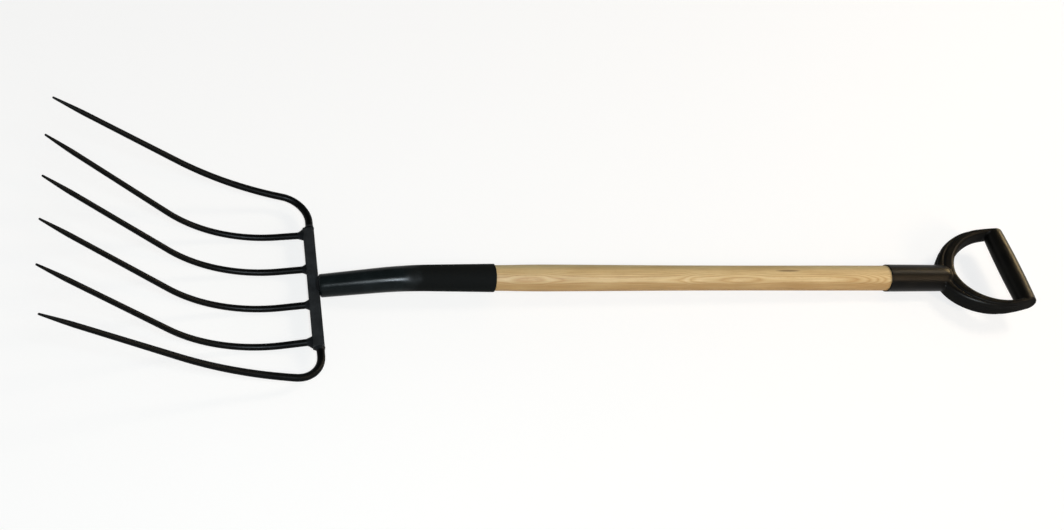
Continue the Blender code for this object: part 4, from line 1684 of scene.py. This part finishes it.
    def fused(self) -> Form:
        """Sleeve's rear, bow and hand bar fused into one skin, with small fillets where they meet.

        Returns:
            The form in the fork's frame.
        """
        whole = bmesh.new()
        bow = loft([[point for point, _ in ring] for ring in self.bow_rings()])
        for part in (self.sleeve_core(), bow, self.hand_bar()):
            join(whole, part)
        obj = make_object(to_mesh(whole, "grip_form"), "grip_form")
        remesh = obj.modifiers.new("fuse", "REMESH")
        remesh.mode = "VOXEL"
        remesh.voxel_size = self.voxel
        smooth = obj.modifiers.new("soften", "SMOOTH")
        smooth.factor = 0.5
        smooth.iterations = self.smoothing
        result = evaluated(obj)
        form = bmesh.new()
        form.from_mesh(result)
        bpy.data.meshes.remove(result)
        return form

    def sleeve_front(self) -> Form:
        """Front of the sleeve: the bore, the rounded rim and the outside.

        Returns:
            The form in the fork's frame.
        """
        rim, r = self.shaft.exposed, self.rim_round
        back = rim + self.takeover
        bore = self.shaft.grip_r + GAP
        draw = (self.shaft.grip_r - self.shaft.end_r) / self.shaft.rear_seat
        floor = back - 3 * MM
        profile = [(floor, bore - draw * (floor - rim)), (rim + r, bore - draw * r)]
        angles = [math.pi / 2 * k / 6 for k in range(7)]
        profile += [(rim + r - r * math.sin(a), bore + r / 2 - r / 2 * math.cos(a)) for a in angles[1:]]
        profile += [(rim + r - r * math.cos(a), self.rim_r - r + r * math.sin(a)) for a in angles]
        xs = [rim + r + (back - rim - r) * k / 28 for k in range(1, 29)]
        return turned(profile + [(x, self.sleeve_radius(x)) for x in xs], self.sides)

    def build(self, fork: ForkFrame, plastic: Material) -> Object:
        """Mould the grip.

        Args:
            fork: The fork's frame.
            plastic: Its finish.

        Returns:
            The piece, without its screw hole.
        """
        form = self.fused()
        cut = Vector((self.shaft.exposed + self.takeover - 0.2 * MM, 0, 0))
        geometry = form.verts[:] + form.edges[:] + form.faces[:]
        bmesh.ops.bisect_plane(form, geom=geometry, plane_co=cut, plane_no=X_AXIS, clear_inner=True)
        open_edges = [edge for edge in form.edges if edge.is_boundary]
        bmesh.ops.holes_fill(form, edges=open_edges, sides=0)
        snap_end = self.shaft.exposed + self.sleeve_straight - self.snap_short
        for vertex in form.verts:
            x, y, z = vertex.co
            radius = math.hypot(y, z)
            true = self.sleeve_radius(x)
            left = snap_end + self.snap_fade - x
            if left > 0 and abs(radius - true) < self.snap_near:
                scale = 1 + (true / radius - 1) * min(left / self.snap_fade, 1)
                vertex.co = Vector((x, y * scale, z * scale))
        join(form, self.sleeve_front())
        return make_piece("moulded_grip", form, fork.place, plastic, 50)

    def polish(self, fork: ForkFrame) -> Callable[[Vector], float]:
        """Rule for how smooth hands have worn the moulding, 0 in the grooves and on its walls.

        Args:
            fork: The fork's frame.

        Returns:
            A rule that gives the share of polish at a place in the world.
        """
        rings = [pair for ring in self.bow_rings() for pair in ring]
        near = KDTree(len(rings))
        for number, (point, _) in enumerate(rings):
            near.insert(point, number)
        near.balance()
        to_fork = fork.back
        to_bow = self.bow_frame().inverted()

        def rule(co: Vector) -> float:
            """The most of what the bow, the sleeve and the hand bar have, eased at both ends.

            Args:
                co: Place in the world.

            Returns:
                The share of polish.
            """
            point = to_fork @ co
            at = to_bow @ point
            bow = rings[near.find(point)[1]][1]
            sleeve = (self.sleeve_radius(point.x) + 2 * MM - math.hypot(point.y, point.z)) / (1.5 * MM)
            # The bar is worn up to the arms, and behind them up to its ends
            behind = at.x - self.bar_at
            held = self.hole_half_width + 1.5 * MM + 3.4 * MM * min(max(behind / (4 * MM), 0), 1)
            bar = min((behind + self.bar_d / 2 + 2 * MM) / (4 * MM), (held - abs(at.y)) / (3 * MM))
            share = min(max(bow, sleeve, bar, 0), 1)
            return share * share * (3 - 2 * share)

        return rule


@dataclass(frozen=True)
class Fasteners:
    """Domed rivet under the socket and countersunk screw under the sleeve."""

    socket: Socket = Socket()
    grip: DGrip = DGrip()
    rivet_at: float = 38 * MM
    rivet_shank_d: float = 4.8 * MM
    rivet_head_d: float = 9 * MM
    rivet_head_h: float = 2.2 * MM
    rivet_skirt: float = 0.9 * MM
    rivet_length: float = 14 * MM
    screw_at: float = 32 * MM
    screw_shank_d: float = 3.5 * MM
    screw_head_d: float = 6.6 * MM
    screw_head_h: float = 1.5 * MM
    screw_length: float = 14 * MM
    screw_point_d: float = 1.2 * MM
    screw_point_length: float = 3.5 * MM
    screw_recess: float = 0.3 * MM
    cross_width: float = 3.6 * MM
    cross_arm: float = 0.8 * MM
    cross_depth: float = 1.1 * MM
    sides: int = 48

    def hang(self, profile: Pairs, at: float) -> Form:
        """Round body that points down from the shaft's axis at a place along it."""
        return turned(profile, self.sides, -Z_AXIS, Y_AXIS, at * X_AXIS)

    def rivet(self, fork: ForkFrame, zinc: Material) -> Object:
        """Build the rivet, whose dome dips to the round tube all along its edge.

        Args:
            fork: The fork's frame.
            zinc: Its finish.

        Returns:
            The finished piece.
        """
        seat = self.socket.radius(self.rivet_at) + GAP
        shank, head = self.rivet_shank_d / 2, self.rivet_head_d / 2
        skirt = seat - self.rivet_skirt
        profile = [(seat - self.rivet_length, shank), (skirt, shank), (skirt, head)]
        profile += [(seat - 0.05 * MM, head)]
        for k in range(1, 13):
            a = math.radians(88) * k / 12
            profile.append((seat + self.rivet_head_h * math.sin(a), head * math.cos(a)))
        return make_piece("domed_rivet", self.hang(profile, -self.rivet_at), fork.place, zinc)

    def screw(self, fork: ForkFrame, zinc: Material) -> Object:
        """Build the screw with its cross recess.

        Args:
            fork: The fork's frame.
            zinc: Its finish.

        Returns:
            The finished piece.
        """
        at = self.grip.shaft.exposed + self.screw_at
        top = self.grip.sleeve_radius(at) - self.screw_recess
        tip = top - self.screw_length
        shank, head = self.screw_shank_d / 2, self.screw_head_d / 2
        profile = [(tip, self.screw_point_d / 2), (tip + self.screw_point_length, shank)]
        profile += [(top - self.screw_head_h, shank), (top - 0.25 * MM, head), (top - 0.08 * MM, head)]
        profile += [(top, head - 0.12 * MM)]
        body = make_piece("cross_screw", self.hang(profile, at), fork.place)
        cutters = []
        for a, b in ((X_AXIS, Y_AXIS), (Y_AXIS, X_AXIS)):
            rings = []
            for height, shrink in ((top + 0.4 * MM, 1.15), (top - self.cross_depth, 0.55)):
                middle = at * X_AXIS - height * Z_AXIS
                reach = a * self.cross_width / 2 * shrink
                side = b * self.cross_arm / 2 * (0.6 + 0.4 * shrink)
                corners = ((reach, side), (-reach, side), (-reach, -side), (reach, -side))
                rings.append([middle + long + wide for long, wide in corners])
            cutters.append(make_piece("recess", loft(rings), fork.place))
        piece = carve(body, cutters)
        piece.data.set_sharp_from_angle(angle=math.radians(30))
        piece.data.materials.clear()
        piece.data.materials.append(zinc)
        return piece

    def countersink(self, grip: Object, fork: ForkFrame) -> Object:
        """Cut the screw's hole in the sleeve, and store the wear.

        Args:
            grip: The moulded grip. It is removed.
            fork: The fork's frame.

        Returns:
            The finished grip.
        """
        at = self.grip.shaft.exposed + self.screw_at
        face = self.grip.sleeve_radius(at)
        shank, head = self.screw_shank_d / 2 + GAP, self.screw_head_d / 2 + GAP
        profile = [(face - 3 * MM, shank), (face - 1.6 * MM, shank), (face - 0.45 * MM, head)]
        profile += [(face - 0.15 * MM, head), (face + 0.3 * MM, head + 0.35 * MM)]
        piece = carve(grip, [make_piece("screw_hole", self.hang(profile, at), fork.place)])
        store(piece.data, "polish", self.grip.polish(fork))
        return piece


# The studio


@dataclass(frozen=True)
class SoftBox:
    """Rectangular soft light, aimed at a point in the fork's frame.

    An accent only draws highlights, and leaves the wood's and the floor's tone alone.
    """

    name: str
    target: tuple[float, float, float]
    direction: tuple[float, float, float]
    distance: float
    size: tuple[float, float]
    radiance: float
    colour: str
    accent: bool = False

    def build(self, fork: ForkFrame) -> None:
        """Hang the light.

        Args:
            fork: The fork's frame.
        """
        light = bpy.data.lights.new(self.name, "AREA")
        light.shape = "RECTANGLE"
        light.size, light.size_y = self.size
        light.energy = self.radiance * math.pi * self.size[0] * self.size[1]
        light.color = linear(self.colour)[:3]
        obj = make_object(light, self.name)
        obj.visible_camera = False
        obj.visible_diffuse = not self.accent
        way = Vector(self.direction).normalized()
        turn = way.to_track_quat("Z", "X").to_matrix().to_4x4()
        spot = Vector(self.target) + way * self.distance
        obj.matrix_world = fork.place @ Matrix.Translation(spot) @ turn


@dataclass(frozen=True)
class Studio:
    """Pale floor, three soft lights, three accents, a pale room and the camera."""

    camera_at: tuple[float, float, float] = (-0.38418, -0.86762, 1.13799)
    # The camera's right, down and forward directions in the fork's frame
    right: tuple[float, float, float] = (0.957489, -0.174653, 0.229590)
    down: tuple[float, float, float] = (0.003240, -0.789326, -0.613966)
    forward: tuple[float, float, float] = (0.288452, 0.588610, -0.755205)
    lens: float = 42.92
    sensor: float = 36.0
    far_clip: float = 50.0
    floor_half: float = 12.0
    # The room's brightness at the horizon and overhead, and the heights between which it falls
    horizon: float = 1.0
    zenith: float = 0.14
    falls: tuple[float, float] = (0.25, 0.5)
    boxes: tuple[SoftBox, ...] = (
        SoftBox("key", (0.45, 0, 0), (0.62, 0.25, 0.744), 1.7, (0.42, 0.4), 21.0, "#fff1dc"),
        SoftBox("front", (-0.15, 0, 0), (-0.06, -0.6, 0.8), 1.5, (0.36, 0.17), 52.0, "#e6f4f7"),
        SoftBox("warm", (0.56, 0, 0), (0.56, -0.6, 0.57), 1.7, (0.56, 0.16), 34.0, "#ffe2bd"),
        SoftBox("rim", (0.66, 0, 0.02), (0.757, 0.5, 0.422), 0.9, (0.1, 0.28), 80.0, "#ffdc9e", True),
        SoftBox("band", (0.47, 0, 0), (0.566, -0.36, 0.74), 1.7, (0.5, 0.5), 10.0, "#ffdcae", True),
        SoftBox(
            "ridge", (0.53, -0.045, 0.02), (-0.416, -0.624, 0.668), 1.3, (0.3, 0.3), 150.0, "#dde9f4",
            True,
        ),
    )

    def world(self) -> None:
        """Room that is white at the horizon and darker overhead."""
        world = bpy.data.worlds.new("room")
        world.use_nodes = True
        bpy.context.scene.world = world
        background = world.node_tree.nodes["Background"]
        add = partial(add_node, world.node_tree)
        height = add(Kind.SPLIT, add(Kind.PLACE).outputs["Generated"]).outputs["Z"]
        background.inputs["Color"].default_value = (1, 1, 1, 1)
        level = add(Kind.SOFT_RANGE, height, *self.falls, self.horizon, self.zenith)
        feed(background.inputs["Strength"], level)

    def floor(self) -> None:
        """Floor that the fork lies on."""
        form = bmesh.new()
        bmesh.ops.create_grid(form, x_segments=4, y_segments=4, size=self.floor_half)
        mesh = to_mesh(form, "floor")
        mesh.materials.append(PaleFloor("matt_white_floor").material())
        make_object(mesh, "floor")

    def camera(self, fork: ForkFrame) -> None:
        """Camera at the photograph's place.

        Args:
            fork: The fork's frame.
        """
        data = bpy.data.cameras.new("camera")
        data.lens = self.lens
        data.sensor_width = self.sensor
        data.sensor_fit = "HORIZONTAL"
        data.clip_end = self.far_clip
        camera = make_object(data, "camera")
        columns = (Vector(self.right), -Vector(self.down), -Vector(self.forward), Vector(self.camera_at))
        rows = [tuple(row) for row in zip(*columns)]
        camera.matrix_world = fork.place @ Matrix([*rows, (0, 0, 0, 1)])
        bpy.context.scene.camera = camera

    def build(self, fork: ForkFrame) -> None:
        """Set up the floor, room, lights and camera.

        Args:
            fork: The fork's frame.
        """
        self.floor()
        self.world()
        for box in self.boxes:
            box.build(fork)
        self.camera(fork)
        bpy.context.scene.view_settings.view_transform = "Standard"


def main() -> None:
    """Build every piece, put it in its node's place and set up the studio."""
    logging.basicConfig(level=logging.INFO, format="%(name)s: %(message)s")
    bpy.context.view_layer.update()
    socket, shaft, bar = Socket(), Shaft(), CrossBar()
    fork = ForkFrame.from_shaft(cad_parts["shaft"], shaft.front_seat)
    head = fork.place @ socket.head_frame(bar.seat_depth)

    enamel = StovedEnamel(
        "satin_stoved_enamel", {"Specular IOR Level": 0.045}, dark="#020303", light="#070808",
        gloss=(0.3, 0.42),
    ).material()
    bar_enamel = StovedEnamel(
        "grained_stoved_enamel", {"Specular IOR Level": 0.14}, dark="#1b1d1f", light="#2a2d30",
        gloss=(0.42, 0.56), peel=0.05 * MM, peel_size=0.9 * MM,
    ).material()
    weld_enamel = StovedEnamel(
        "bead_stoved_enamel", {"Specular IOR Level": 0.07}, dark="#0d0f11", light="#191c1f",
        gloss=(0.4, 0.54), peel=0.05 * MM, peel_size=0.9 * MM,
    ).material()
    socket_enamel = SocketEnamel(
        "socket_stoved_enamel", {"Specular IOR Level": 0.065}, wave=0.05 * MM, peel=0.006 * MM
    ).material()
    wood = AshWood("oiled_ash", {"Specular IOR Level": 0.25}).material()
    plastic = MouldedPolypropylene(
        "moulded_black_polypropylene", {"Specular IOR Level": 0.07, "Specular Tint": linear("#fffaf2")}
    ).material()
    zinc = ZincPlate("passivated_zinc_plate", {"Metallic": 1.0}).material()

    hand_in(bar.build(head, bar_enamel), "cross_bar")
    for node, piece in {**Tines().build(head, enamel), **Welds().build(head, weld_enamel)}.items():
        hand_in(piece, node)
    hand_in(socket.build(fork, socket_enamel), "socket")
    hand_in(shaft.build(fork, wood), "shaft")
    fasteners = Fasteners()
    grip = fasteners.countersink(fasteners.grip.build(fork, plastic), fork)
    hand_in(grip, "d_grip")
    hand_in(fasteners.rivet(fork, zinc), "socket_rivet")
    hand_in(fasteners.screw(fork, zinc), "grip_screw")

    Studio().build(fork)


if __name__ == "__main__":
    main()
